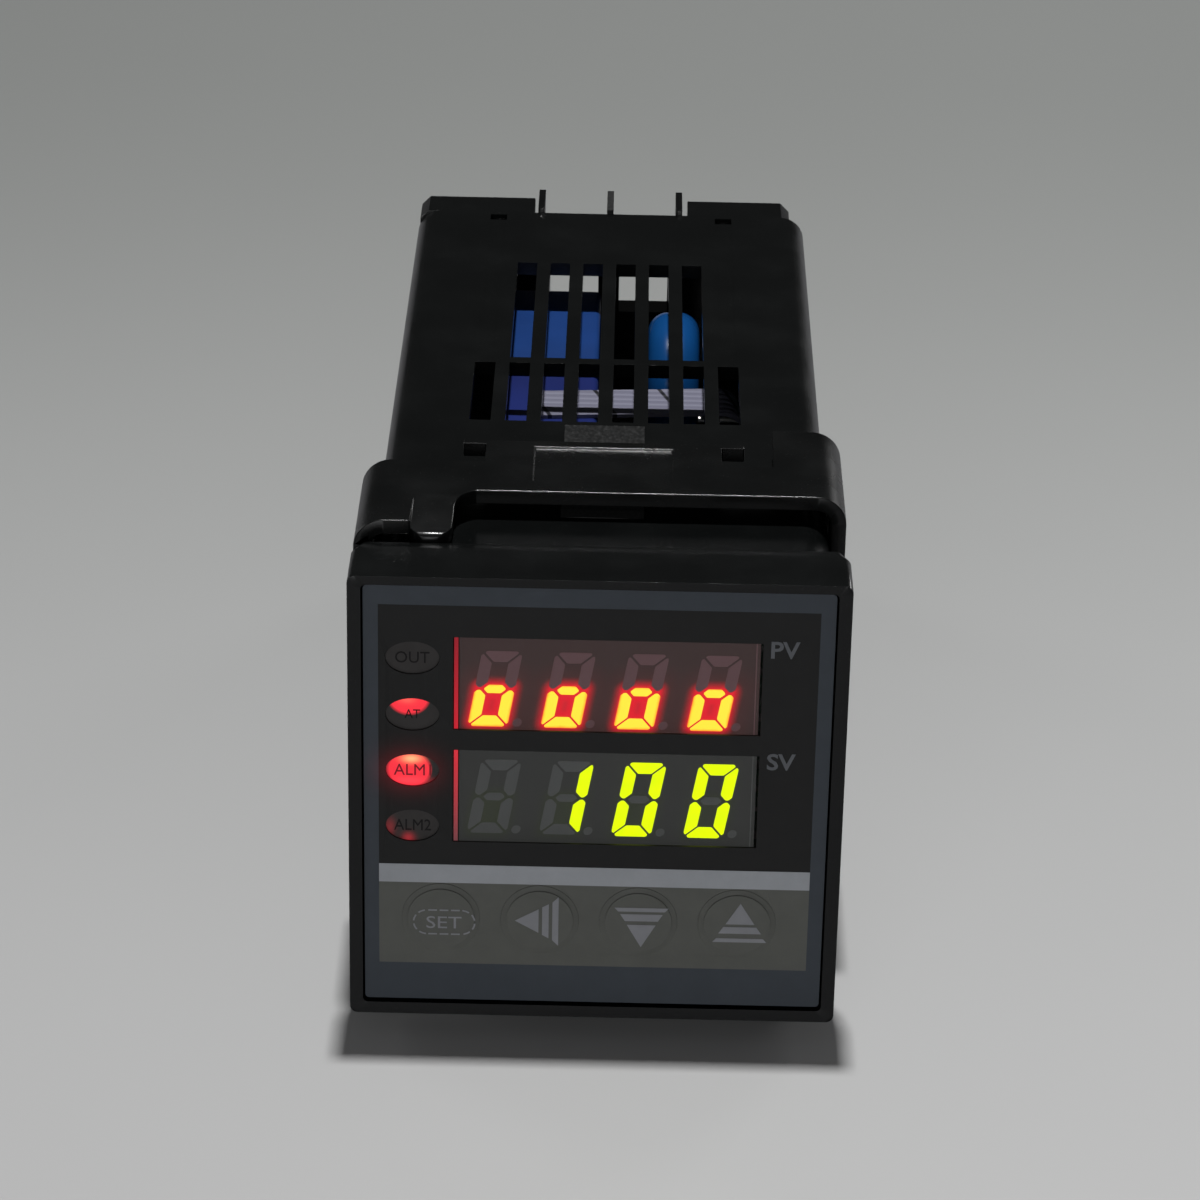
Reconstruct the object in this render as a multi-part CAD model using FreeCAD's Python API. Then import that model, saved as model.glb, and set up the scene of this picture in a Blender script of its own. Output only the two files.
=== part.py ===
"""Panel-mounted PID temperature controller of the 48 x 48 mm size, in millimetres.

The instrument is drawn about its own axis: X to the right seen from the front, Y backwards
from the front of the bezel, Z upwards from the axis. save() then sets every solid into the
part's frame, whose origin is the middle of the box's underside.
"""
import FreeCAD, Part
import math
import os

Vector = FreeCAD.Vector
X_AXIS = Vector(1, 0, 0)
Y_AXIS = Vector(0, 1, 0)
Z_AXIS = Vector(0, 0, 1)
AXIS_POINT = Vector(0, 0, 0)

# ---- driving dimensions -------------------------------------------------------------------
BEZEL_SIZE = 48.0           # square front
BEZEL_DEPTH = 9.0           # front of the bezel to the panel seat
BEZEL_FLAT = 6.2            # straight part of the bezel's side, before its taper
BODY_WIDTH = 44.8           # passes a 45 x 45 panel cut-out
BODY_HEIGHT = 45.0
BODY_END = 102.5            # rear edge of the housing tube
BLOCK_END = 107.5           # rear edge of the terminal barriers
OVERALL_DEPTH = 109.0       # rear edge of the three tall barriers
WALL = 1.5
BODY_CORNER = 2.7

# recess in the bezel that the front unit seats in
RECESS_HALF_WIDTH = 22.7
RECESS_TOP = 23.1
RECESS_BOTTOM = -22.75
RECESS_DEPTH = 6.2

# vent slots: (slots in the row, nearest y, farthest y)
VENT_WIDTH = 2.2
VENT_PITCH = 3.7
VENT_ROWS = ((8, 41.4, 57.0), (6, 58.5, 86.5))

# ratchet
RACK_HALF_WIDTH = 4.1
RACK_START = 17.6
RACK_PITCH = 1.1
RACK_TEETH = 20
RACK_HEIGHT = 0.5

# shallow strip that leads to each latch window
STRIP_HALF_WIDTH = 0.95
STRIP_START = 60.0
STRIP_DEPTH = 0.12

# mounting bracket
BRACKET_HALF_WIDTH = 24.0
BRACKET_HALF_HEIGHT = 25.6
BRACKET_FRONT = 16.8
BRACKET_REAR = 23.9
LEG_FRONT = 9.3
FOOT_FRONT = 9.06
WING_REAR = 32.9
TONGUE_REAR = 29.1

# front unit
FILM_FRONT = 0.3
FILM_THICK = 0.25
FRAME_FRONT = FILM_FRONT + FILM_THICK
FRAME_REAR = 6.15
PLATE_REAR = 2.6
FILM_HALF_WIDTH = 22.5
FILM_TOP = 22.95
FILM_BOTTOM = -22.0
FILTER_THICK = 1.0
FILTER_BOX = (-21.0, 17.0, -6.6, 18.8)      # left, right, lower and upper edge
WINDOW_LEFT = -13.9
WINDOW_RIGHT = 15.7
PV_WINDOW = (7.7, 17.6)     # lower and upper edge
SV_WINDOW = (-4.6, 5.5)
DISPLAY_APERTURE = (-14.4, 16.0, -5.9, 17.9)
DISPLAY_HEIGHT = 10.9
DISPLAY_DROP = 0.7          # how far a display's middle hangs below its window's
DISPLAY_GAP = 0.25          # behind the filter
LEFT_GAP = 0.55             # light gap left of each display
LAMP_X = -17.8
LAMP_PITCH = 6.07
LAMP_TOP_Z = 15.3
LAMP_SIZE = (5.2, 3.5)
LAMP_NAMES = ("out", "at", "alm1", "alm2")
KEY_NAMES = ("set", "shift", "down", "up")
KEY_FIRST_X = -15.0
KEY_PITCH = 9.7
KEY_Z = -13.15
KEY_RADIUS = 3.7
KEY_GAP = 0.15
KEY_EMBOSS = 0.25           # how far a key stands proud of the film
KEY_FLANGE = 4.5            # half side of the square flange that keeps a key in
KEY_STEM = 1.5              # half side of its stem
KEY_STEM_END = 5.7
SWITCH_HALF = 3.0
SWITCH_FRONT = 4.9

# boards
DISPLAY_BOARD_Y = 8.2
BOARD_THICK = 1.6
BOARD_HALF = 20.4
SIDE_BOARD_X = 17.6         # inner face of each side board
SIDE_BOARD_END = 94.0

# terminals
BLOCK_WALL_FRONT = 96.0
BLOCK_WALL_REAR = 99.5
BLOCK_HALF_WIDTH = 20.7
BLOCK_HALF_HEIGHT = 20.8
COLUMN_X = 15.2
COLUMN_INNER = 8.9
TERMINAL_PITCH = 8.1
TERMINAL_COUNT = 5
BARRIER = 1.1
TALL_BARRIERS = (-8.1, -0.1, 7.9)
LUG_X = 13.0
COVER_ENDS = (22.2, 20.8)   # how far the left and the right cover reach from the axis
COVER_TOP = 22.45
PLATE_THICK = 0.8
SCREW_RADIUS = 1.45
SCREW_HEAD = 2.7
SCREW_FLATS = 12            # flats that stand for the round of a screw
HEAD_FLATS = 18


# ---- helpers ------------------------------------------------------------------------------
def box(x0, x1, y0, y1, z0, z1):
    return Part.makeBox(x1 - x0, y1 - y0, z1 - z0, Vector(x0, y0, z0))


def rounded_wire(x0, x1, z0, z1, radius, y):
    """A rectangle with round corners in the plane at y, from four lines and four arcs."""
    flat = radius * (1 - math.sqrt(0.5))
    corners = ((x0, z0, 1, 1), (x1, z0, -1, 1), (x1, z1, -1, -1), (x0, z1, 1, -1))
    edges = []
    ends = []
    for index, (cx, cz, sx, sz) in enumerate(corners):
        along_x = Vector(cx + sx * radius, y, cz)
        along_z = Vector(cx, y, cz + sz * radius)
        middle = Vector(cx + sx * flat, y, cz + sz * flat)
        first, last = (along_z, along_x) if index % 2 == 0 else (along_x, along_z)
        ends.append((first, last))
        edges.append(Part.Arc(first, middle, last).toShape())
    for index, (_, last) in enumerate(ends):
        following = ends[(index + 1) % 4][0]
        edges.append(Part.LineSegment(last, following).toShape())
    return Part.Wire(Part.__sortEdges__(edges))


def rounded_prism(x0, x1, y0, y1, z0, z1, radius):
    face = Part.Face(rounded_wire(x0, x1, z0, z1, radius, y0))
    return face.extrude(Vector(0, y1 - y0, 0))


def cylinder_y(radius, x, y0, y1, z):
    return Part.makeCylinder(radius, y1 - y0, Vector(x, y0, z), Y_AXIS)


def flats_y(radius, sides, x, y0, y1, z):
    """A prism along Y with an even number of flats, standing for a small round piece."""
    turns = [2 * math.pi * index / sides for index in range(sides)]
    corners = [Vector(x + radius * math.cos(turn), y0, z + radius * math.sin(turn)) for turn in turns]
    return Part.Face(Part.makePolygon(corners + corners[:1])).extrude(Vector(0, y1 - y0, 0))


def fuse_all(shapes):
    whole = shapes[0]
    if len(shapes) > 1:
        whole = whole.multiFuse(shapes[1:])
    return whole.removeSplitter()


def cut_all(shape, tools):
    return shape.cut(Part.makeCompound(tools))


def half_turn(shape):
    """The same shape turned by half a turn about the instrument's axis."""
    turned = shape.copy()
    turned.rotate(AXIS_POINT, Y_AXIS, 180)
    return turned


def prism_x(points, x0, x1):
    """A closed outline of (y, z) points, swept from x0 to x1."""
    corners = [Vector(x0, y, z) for y, z in points]
    wire = Part.makePolygon(corners + corners[:1])
    return Part.Face(wire).extrude(Vector(x1 - x0, 0, 0))


def save(name, shape):
    placed = shape.copy()
    placed.translate(Vector(0, -OVERALL_DEPTH / 2, BRACKET_HALF_HEIGHT))
    placed.exportStep("parts/" + name + ".step")


# ---- housing ------------------------------------------------------------------------------
def vent_slots():
    """Both rows of slots, cut through the top and the bottom wall together."""
    slots = []
    for count, near, far in VENT_ROWS:
        for index in range(count):
            middle = (index - (count - 1) / 2) * VENT_PITCH
            left = middle - VENT_WIDTH / 2
            for side in (-1, 1):
                inner = BODY_HEIGHT / 2 - WALL - 0.5
                outer = BODY_HEIGHT / 2 + 0.5
                low, high = sorted((side * inner, side * outer))
                slots.append(box(left, left + VENT_WIDTH, near, far, low, high))
    return slots


def rack():
    """Saw teeth across the top wall: a steep rear face holds the bracket's pawl."""
    base = BODY_HEIGHT / 2
    outline = [(RACK_START, base - 0.4)]
    for index in range(RACK_TEETH):
        foot = RACK_START + index * RACK_PITCH
        outline.append((foot, base + 0.05))
        outline.append((foot + RACK_PITCH * 0.8, base + RACK_HEIGHT))
    end = RACK_START + RACK_TEETH * RACK_PITCH
    outline.append((end, base + 0.05))
    outline.append((end, base - 0.4))
    return prism_x(outline, -RACK_HALF_WIDTH, RACK_HALF_WIDTH)


def board_guides():
    """Ribs inside the tube that the two side boards run between."""
    guides = []
    groove = BOARD_THICK + 0.5
    middle = SIDE_BOARD_X + BOARD_THICK / 2
    roof = BODY_HEIGHT / 2 - WALL
    for side in (-1, 1):
        for offset in (-groove / 2 - 0.7, groove / 2):
            left = side * middle + offset
            guides.append(box(left, left + 0.7, 12.0, 90.0, BOARD_HALF - 1.2, roof + 0.3))
    return guides


def housing():
    half = BEZEL_SIZE / 2
    half_width = BODY_WIDTH / 2
    half_height = BODY_HEIGHT / 2
    flat = rounded_prism(-half, half, 0, BEZEL_FLAT, -half, half, 0.8)
    edge = half - 0.6
    taper = Part.makeLoft(
        [
            rounded_wire(-half, half, -half, half, 0.8, BEZEL_FLAT),
            rounded_wire(-edge, edge, -edge, edge, 0.8, BEZEL_DEPTH),
        ],
        True,
    )
    tube = rounded_prism(
        -half_width, half_width, BEZEL_FLAT, BODY_END, -half_height, half_height, BODY_CORNER
    )
    solid = fuse_all([flat, taper, tube])
    inner_x = half_width - WALL
    inner_z = half_height - WALL
    bore = rounded_prism(-inner_x, inner_x, 1.0, BODY_END + 1, -inner_z, inner_z, BODY_CORNER - WALL)
    recess = rounded_prism(
        -RECESS_HALF_WIDTH, RECESS_HALF_WIDTH, -1.0, RECESS_DEPTH, RECESS_BOTTOM, RECESS_TOP, 0.5
    )
    shell = solid.cut(bore).cut(recess)
    ribs = board_guides()
    shell = fuse_all([shell, rack(), half_turn(rack())] + ribs + [half_turn(rib) for rib in ribs])
    cuts = vent_slots()
    for x in (-LUG_X, LUG_X):
        pit = box(x - 0.95, x + 0.95, 100.3, 101.7, half_height - WALL - 0.5, half_height + 0.5)
        strip = box(
            x - STRIP_HALF_WIDTH, x + STRIP_HALF_WIDTH, STRIP_START, 100.3,
            half_height - STRIP_DEPTH, half_height + 0.5,
        )
        cuts += [pit, strip, half_turn(pit), half_turn(strip)]
    return cut_all(shell, cuts)


# ---- mounting bracket ---------------------------------------------------------------------
def bracket_band(front, rear):
    """One length of the bracket's square collar."""
    outer = rounded_prism(
        -BRACKET_HALF_WIDTH, BRACKET_HALF_WIDTH, front, rear,
        -BRACKET_HALF_HEIGHT, BRACKET_HALF_HEIGHT, 3.0,
    )
    inner_x = BRACKET_HALF_WIDTH - WALL
    inner_z = BRACKET_HALF_HEIGHT - WALL
    inner = rounded_prism(-inner_x, inner_x, front - 1, rear + 1, -inner_z, inner_z, 1.5)
    return outer.cut(inner)


def pressure_foot():
    """Sloping spring arm with a round foot, S-shaped in plan, that presses on the panel."""
    top = BRACKET_HALF_HEIGHT
    tip_y = FOOT_FRONT + 0.7
    tip_z = top - 2.0
    side = prism_x(
        [
            (17.4, top - WALL), (17.4, top), (15.6, top), (tip_y, tip_z + 0.7),
            (tip_y, tip_z - 0.7), (15.6, top - WALL),
        ],
        -19.0, -11.0,
    )
    round_tip = Part.makeCylinder(0.7, 8.0, Vector(-19.0, tip_y, tip_z), X_AXIS)
    low = Vector(0, 0, top - 4)
    left = -18.6
    bulge = -14.5
    points = [
        Vector(left, 17.4, 0), Vector(left, 10.6, 0),
        Vector(-16.6, FOOT_FRONT - 0.1, 0), Vector(bulge, 10.6, 0),
    ]
    edges = [
        Part.LineSegment(points[0] + low, points[1] + low).toShape(),
        Part.Arc(points[1] + low, points[2] + low, points[3] + low).toShape(),
    ]
    neck = Vector(bulge + 0.1, 13.2, 0)
    root = Vector(-12.0, BRACKET_FRONT + 0.1, 0)
    bend = Vector(-13.8, 15.6, 0)
    close = Vector(-12.0, 17.4, 0)
    edges.append(Part.LineSegment(points[3] + low, neck + low).toShape())
    edges.append(Part.Arc(neck + low, bend + low, root + low).toShape())
    edges.append(Part.LineSegment(root + low, close + low).toShape())
    edges.append(Part.LineSegment(close + low, points[0] + low).toShape())
    plan = Part.Face(Part.Wire(edges)).extrude(Vector(0, 0, 6))
    return fuse_all([side, round_tip]).common(plan)


def latch_tongue():
    """Release lever behind the top wall, with its finger lip and the pawl beneath."""
    top = BRACKET_HALF_HEIGHT
    neck = box(-11.8, 11.8, BRACKET_REAR - 0.2, TONGUE_REAR, top - WALL, top)
    lip = box(-14.1, 14.1, TONGUE_REAR - 0.8, TONGUE_REAR, top - WALL, top)
    base = top - WALL + 0.1
    tip = BODY_HEIGHT / 2 + RACK_HEIGHT + 0.3
    outline = [(24.2, base)]
    for index in range(3):
        start = 24.2 + index * RACK_PITCH
        outline.append((start + RACK_PITCH * 0.2, tip))
        outline.append((start + RACK_PITCH, tip + 0.45))
    outline.append((24.2 + 3 * RACK_PITCH, base))
    pawl = prism_x(outline, -RACK_HALF_WIDTH, RACK_HALF_WIDTH)
    return [neck, lip, pawl]


def mounting_bracket():
    corner = 13.0
    top = BRACKET_HALF_HEIGHT
    wide = BRACKET_HALF_WIDTH
    collar = bracket_band(BRACKET_FRONT, BRACKET_REAR)
    leg = bracket_band(LEG_FRONT, BRACKET_FRONT + 0.1).common(
        box(-wide, -18.5, LEG_FRONT, BRACKET_FRONT + 0.1, corner, top)
    )
    wing = bracket_band(BRACKET_REAR - 0.1, WING_REAR).common(
        box(17.0, wide, BRACKET_REAR - 0.1, WING_REAR, corner, top)
    )
    half = [leg, wing, pressure_foot()] + latch_tongue()
    whole = fuse_all([collar] + half + [half_turn(piece) for piece in half])
    pad = box(-6.9, 6.9, 19.5, 27.7, top - 0.25, top + 1)
    return cut_all(whole, [pad, half_turn(pad)])


# ---- front unit ---------------------------------------------------------------------------
def key_x(index):
    return KEY_FIRST_X + index * KEY_PITCH


def lamp_z(index):
    return LAMP_TOP_Z - index * LAMP_PITCH


def oval_prism(x, z, width, height, y0, y1):
    """An elliptical prism along Y."""
    ring = Part.Ellipse(AXIS_POINT, width / 2, height / 2).toShape()
    prism = Part.Face(Part.Wire(ring)).extrude(Vector(0, 0, y0 - y1))
    prism.rotate(AXIS_POINT, X_AXIS, 90)
    prism.translate(Vector(x, y0, z))
    return prism


def square_y(half, x, y0, y1, z):
    return box(x - half, x + half, y0, y1, z - half, z + half)


def front_overlay():
    """Printed film over the whole front: two windows, four lamp ovals, four key circles."""
    film = rounded_prism(
        -FILM_HALF_WIDTH, FILM_HALF_WIDTH, FILM_FRONT, FRAME_FRONT, FILM_BOTTOM, FILM_TOP, 0.4
    )
    y0 = FILM_FRONT - 1
    y1 = FRAME_FRONT + 1
    cuts = [box(WINDOW_LEFT, WINDOW_RIGHT, y0, y1, low, high) for low, high in (PV_WINDOW, SV_WINDOW)]
    for index in range(len(LAMP_NAMES)):
        cuts.append(oval_prism(LAMP_X, lamp_z(index), LAMP_SIZE[0], LAMP_SIZE[1], y0, y1))
    for index in range(len(KEY_NAMES)):
        cuts.append(cylinder_y(KEY_RADIUS + KEY_GAP, key_x(index), y0, y1, KEY_Z))
    return cut_all(film, cuts)


def display_filter():
    left, right, low, high = FILTER_BOX
    return box(left, right, FRAME_FRONT, FRAME_FRONT + FILTER_THICK, low, high)


def front_frame():
    """Tray behind the film: a plate with its apertures, a skirt and four board hooks."""
    outer = rounded_prism(
        -FILM_HALF_WIDTH, FILM_HALF_WIDTH, FRAME_FRONT, FRAME_REAR, FILM_BOTTOM, FILM_TOP, 0.4
    )
    hollow = box(-20.9, 20.9, PLATE_REAR, FRAME_REAR + 1, -20.6, 20.9)
    left, right, low, high = FILTER_BOX
    y0 = FRAME_FRONT - 1
    y1 = PLATE_REAR + 1
    pocket = box(left - 0.05, right + 0.05, y0, FRAME_FRONT + FILTER_THICK, low - 0.05, high + 0.05)
    x0, x1, z0, z1 = DISPLAY_APERTURE
    cuts = [hollow, pocket, box(x0, x1, y0, y1, z0, z1)]
    half_width = LAMP_SIZE[0] / 2
    half_height = LAMP_SIZE[1] / 2
    for index in range(len(LAMP_NAMES)):
        z = lamp_z(index)
        cuts.append(box(LAMP_X - half_width, LAMP_X + half_width, y0, y1, z - half_height, z + half_height))
    for index in range(len(KEY_NAMES)):
        cuts.append(square_y(KEY_RADIUS + KEY_GAP, key_x(index), y0, y1, KEY_Z))
    tray = cut_all(outer, cuts)
    hooks = []
    for side in (-1, 1):
        x = side * 12.0
        arm = box(x - 2.0, x + 2.0, PLATE_REAR - 0.1, DISPLAY_BOARD_Y, 18.9, 20.2)
        hooks += [arm, half_turn(arm)]
    return fuse_all([tray] + hooks)


def display_module(window):
    """Four-digit display block on short feet, behind its window."""
    middle = (window[0] + window[1]) / 2 - DISPLAY_DROP
    low = middle - DISPLAY_HEIGHT / 2
    high = middle + DISPLAY_HEIGHT / 2
    front = FRAME_FRONT + FILTER_THICK + DISPLAY_GAP
    rear = DISPLAY_BOARD_Y - 0.4
    body = box(WINDOW_LEFT + LEFT_GAP, WINDOW_RIGHT - 0.2, front, rear, low, high)
    feet = []
    for x in (WINDOW_LEFT + 1.0, WINDOW_RIGHT - 1.8):
        for z in (low + 0.6, high - 1.8):
            feet.append(box(x, x + 1.2, rear - 0.1, DISPLAY_BOARD_Y, z, z + 1.2))
    return fuse_all([body] + feet)


def lamp(index):
    """Light guide in the plate with its small diode block behind."""
    z = lamp_z(index)
    front = FRAME_FRONT + FILTER_THICK
    half_width = LAMP_SIZE[0] / 2 - 0.1
    half_height = LAMP_SIZE[1] / 2 - 0.1
    guide = box(LAMP_X - half_width, LAMP_X + half_width, front, 5.4, z - half_height, z + half_height)
    diode = box(LAMP_X - 1.5, LAMP_X + 1.5, 5.3, DISPLAY_BOARD_Y, z - 1.0, z + 1.0)
    return fuse_all([guide, diode])


def key(index):
    """Embossed round cap on a square flange, with the stem that reaches its switch."""
    x = key_x(index)
    front = FILM_FRONT - KEY_EMBOSS
    flange = PLATE_REAR + 0.15
    profile = [
        (0, front), (KEY_RADIUS - 0.5, front), (KEY_RADIUS, FILM_FRONT + 0.05),
        (KEY_RADIUS, flange + 0.1), (0, flange + 0.1),
    ]
    corners = [Vector(radius, y, 0) for radius, y in profile]
    wire = Part.makePolygon(corners + corners[:1])
    cap = Part.Face(wire).revolve(AXIS_POINT, Y_AXIS, 360)
    cap.translate(Vector(x, 0, KEY_Z))
    plate = square_y(KEY_FLANGE, x, flange, flange + 0.6, KEY_Z)
    stem = square_y(KEY_STEM, x, flange + 0.5, KEY_STEM_END, KEY_Z)
    return fuse_all([cap, plate, stem])


def tact_switch(index):
    """Push switch whose well takes the key's stem."""
    x = key_x(index)
    body = square_y(SWITCH_HALF, x, SWITCH_FRONT, DISPLAY_BOARD_Y, KEY_Z)
    well = square_y(KEY_STEM + 0.3, x, SWITCH_FRONT - 1, KEY_STEM_END + 0.7, KEY_Z)
    return body.cut(well)


def display_board():
    """Upright board across the tube, its corners cut away past the housing's."""
    rear = DISPLAY_BOARD_Y + BOARD_THICK
    board = box(-BOARD_HALF, BOARD_HALF, DISPLAY_BOARD_Y, rear, -BOARD_HALF, BOARD_HALF)
    corners = [edge for edge in board.Edges if abs(edge.tangentAt(0).y) > 0.9]
    return board.makeChamfer(1.2, corners)


def side_board(side):
    """Upright board along one side; its rear edge is cut into five contact tongues."""
    inner = side * SIDE_BOARD_X
    outer = side * (SIDE_BOARD_X + BOARD_THICK)
    low, high = sorted((inner, outer))
    front = DISPLAY_BOARD_Y + BOARD_THICK
    board = box(low, high, front, SIDE_BOARD_END, -BOARD_HALF, BOARD_HALF)
    cuts = []
    for index in range(TERMINAL_COUNT - 1):
        z = (index - (TERMINAL_COUNT - 2) / 2) * TERMINAL_PITCH
        cuts.append(box(low - 1, high + 1, SIDE_BOARD_END - 7, SIDE_BOARD_END + 1, z - 0.8, z + 0.8))
    return cut_all(board, cuts)


def header_pins():
    """Right-angle pins that join the display board to each side board."""
    pins = []
    rear = DISPLAY_BOARD_Y + BOARD_THICK
    for side in (-1, 1):
        face = side * SIDE_BOARD_X
        low, high = sorted((face, face - side * 1.6))
        for index in range(8):
            z = (index - 3.5) * 2.54
            pins.append(box(low, high, rear, rear + 3.0, z - 0.4, z + 0.4))
    return Part.makeCompound(pins)


def relay(y0, y1, top):
    """Sealed relay case on its side, its pins towards the left board."""
    case = rounded_prism(-11.2, -0.9, y0, y1, top - 16.0, top, 0.6)
    left = -SIDE_BOARD_X
    foot = box(left, -11.2, y0 + 3.4, y1 - 3.4, top - 15.0, top - 1.0)
    return case, foot


def turned_x(profile, place):
    """A turned piece along X from (x, radius) points that start and end on the axis."""
    corners = [Vector(x, radius, 0) for x, radius in profile]
    wire = Part.makePolygon(corners + corners[:1])
    solid = Part.Face(wire).revolve(AXIS_POINT, X_AXIS, 360)
    solid.translate(place)
    return solid


def varistor():
    """Resin-coated disc on edge, with its two leads to the right board."""
    rim = [(0, 0), (0, 6.6), (1.5, 8.0), (3.9, 8.0), (5.4, 6.6), (5.4, 0)]
    disc = turned_x(rim, Vector(4.5, 82.0, 10.0))
    leads = [box(8.2, SIDE_BOARD_X, 82.0 + dy, 82.7 + dy, 3.6, 4.3) for dy in (-3.3, 2.6)]
    return fuse_all([disc] + leads)


def ribbon_cable():
    """Flat cable laid level over the front relay, then bent down to the right board."""
    thick = 0.4
    y0, y1 = 56.0, 62.7
    z0 = 16.45
    start = Vector(-7.6, y0, z0)
    bend = Vector(12.6, y0, z0)
    fall = Vector(14.8, y0, z0 - 1.8)
    edges = [
        Part.LineSegment(start, bend).toShape(),
        Part.Arc(bend, Vector(14.1, y0, z0 - 0.6), fall).toShape(),
        Part.LineSegment(fall, Vector(17.3, y0, z0 - 6.0)).toShape(),
    ]
    line = Part.Wire(edges)
    upper = line.copy()
    upper.translate(Vector(0.3, 0, thick))
    ends = [
        Part.LineSegment(line.Vertexes[0].Point, upper.Vertexes[0].Point).toShape(),
        Part.LineSegment(line.Vertexes[-1].Point, upper.Vertexes[-1].Point).toShape(),
    ]
    outline = Part.Wire(Part.__sortEdges__(line.Edges + upper.Edges + ends))
    cable = Part.Face(outline).extrude(Vector(0, y1 - y0, 0))
    cable.rotate(start, Z_AXIS, 5.0)
    return cable


def transformer():
    """E-core transformer on the left board: a bobbin with its winding, in a ferrite core."""
    left = -SIDE_BOARD_X
    core = box(left + 2.0, left + 16.0, 16.0, 36.0, -14.0, 8.0)
    window = box(left + 1.0, left + 17.0, 20.0, 32.0, -10.5, 4.5)
    core = core.cut(window)
    bobbin = box(left, left + 18.0, 20.2, 31.8, -10.3, 4.3)
    return core, bobbin


def capacitor(radius, length, y, z):
    """Electrolytic can standing on the right board."""
    return Part.makeCylinder(radius, length, Vector(SIDE_BOARD_X - 0.2 - length, y, z), X_AXIS)


def microcontroller():
    """Square flat-pack with its rows of legs on the right board's inner face."""
    face = SIDE_BOARD_X
    body = box(face - 1.9, face - 0.2, 26.0, 38.0, -6.0, 6.0)
    pins = []
    for index in range(6):
        offset = (index - 2.5) * 1.7
        for z in (-7.0, 5.9):
            pins.append(box(face - 0.9, face, 32.0 + offset - 0.25, 32.0 + offset + 0.25, z, z + 1.1))
    return fuse_all([body] + pins)


# ---- terminals ----------------------------------------------------------------------------
def terminal_z(index):
    return (index - (TERMINAL_COUNT - 1) / 2) * TERMINAL_PITCH


def terminal_places():
    return [(side, terminal_z(index)) for side in (-1, 1) for index in range(TERMINAL_COUNT)]


def terminal_block():
    """Rear wall inside the tube: square screw pockets, tab slots and the spare bays' windows."""
    wall = rounded_prism(
        -BLOCK_HALF_WIDTH, BLOCK_HALF_WIDTH, BLOCK_WALL_FRONT, BLOCK_WALL_REAR,
        -BLOCK_HALF_HEIGHT, BLOCK_HALF_HEIGHT, 1.2,
    )
    cuts = []
    middle = SIDE_BOARD_X + BOARD_THICK / 2
    for side, z in terminal_places():
        x = side * COLUMN_X
        cuts.append(box(x - 1.7, x + 1.7, 96.8, 100, z - 1.7, z + 1.7))
        cuts.append(box(side * middle - 1.45, side * middle + 1.45, 95, 100, z - 1.6, z + 1.6))
    for left in (-6.9, 1.1):
        window = box(left, left + 5.6, 95, 100, 12.2, 15.4)
        cuts += [window, half_turn(window)]
    return cut_all(wall, cuts)


def end_cover(side, z):
    """The outermost shelf's cover, level with the housing, and the lug that latches there."""
    end = side * COVER_ENDS[0 if side * z < 0 else 1]
    low, high = sorted((side * COLUMN_INNER, end))
    bottom, top = sorted((z, math.copysign(COVER_TOP, z)))
    cover = box(low, high, BODY_END + 0.1, BLOCK_END, bottom, top)
    corner = [
        edge for edge in cover.Edges
        if abs(edge.CenterOfMass.x - end) < 0.01 and abs(abs(edge.CenterOfMass.z) - COVER_TOP) < 0.01
    ]
    bottom, top = sorted((z, math.copysign(BODY_HEIGHT / 2 - 0.6, z)))
    lug = box(side * LUG_X - 0.8, side * LUG_X + 0.8, 100.5, 101.5, bottom, top)
    return [cover.makeChamfer(1.0, corner), lug]


def terminal_barriers():
    """The walls between the terminals: six shelves a side and the upright ones."""
    root = BLOCK_WALL_REAR
    pieces = []
    for side in (-1, 1):
        low, high = sorted((side * COLUMN_INNER, side * (BLOCK_HALF_WIDTH - 0.5)))
        for index in range(TERMINAL_COUNT + 1):
            z = (index - TERMINAL_COUNT / 2) * TERMINAL_PITCH
            shelf = box(low, high, root, BLOCK_END, z - BARRIER / 2, z + BARRIER / 2)
            if index in (0, TERMINAL_COUNT):
                shelf = fuse_all([shelf] + end_cover(side, z))
            pieces.append(shelf)
    for x in TALL_BARRIERS:
        for low, high in ((9.0, 20.6), (-20.6, -9.0)):
            blade = box(x - 0.38, x + 0.38, root, OVERALL_DEPTH, low, high)
            end = math.copysign(BODY_HEIGHT / 2 + 0.5, low)
            bottom, top = sorted((math.copysign(20.0, low), end))
            crest = box(x - 0.38, x + 0.38, BODY_END + 0.1, OVERALL_DEPTH, bottom, top)
            pieces.append(fuse_all([blade, crest]))
    return Part.makeCompound(pieces)


def terminal_plate(side, z):
    """Tinned plate under the screw, its tab through the wall and the fork for the board."""
    rear = BLOCK_WALL_REAR
    low, high = sorted((side * (COLUMN_X - 4.6), side * (COLUMN_X + 4.9)))
    plate = box(low, high, rear, rear + PLATE_THICK, z - 2.9, z + 2.9)
    hole = flats_y(SCREW_RADIUS + 0.05, SCREW_FLATS, side * COLUMN_X, rear - 1, rear + 2, z)
    plate = plate.cut(hole)
    middle = side * (SIDE_BOARD_X + BOARD_THICK / 2)
    tab = box(middle - 1.35, middle + 1.35, BLOCK_WALL_FRONT - 0.8, rear + 0.1, z - 1.5, z + 1.5)
    fork = [tab, plate]
    for x in (middle - 1.35, middle + 0.95):
        fork.append(box(x, x + 0.4, 90.0, BLOCK_WALL_FRONT, z - 1.5, z + 1.5))
    return fuse_all(fork)


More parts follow.
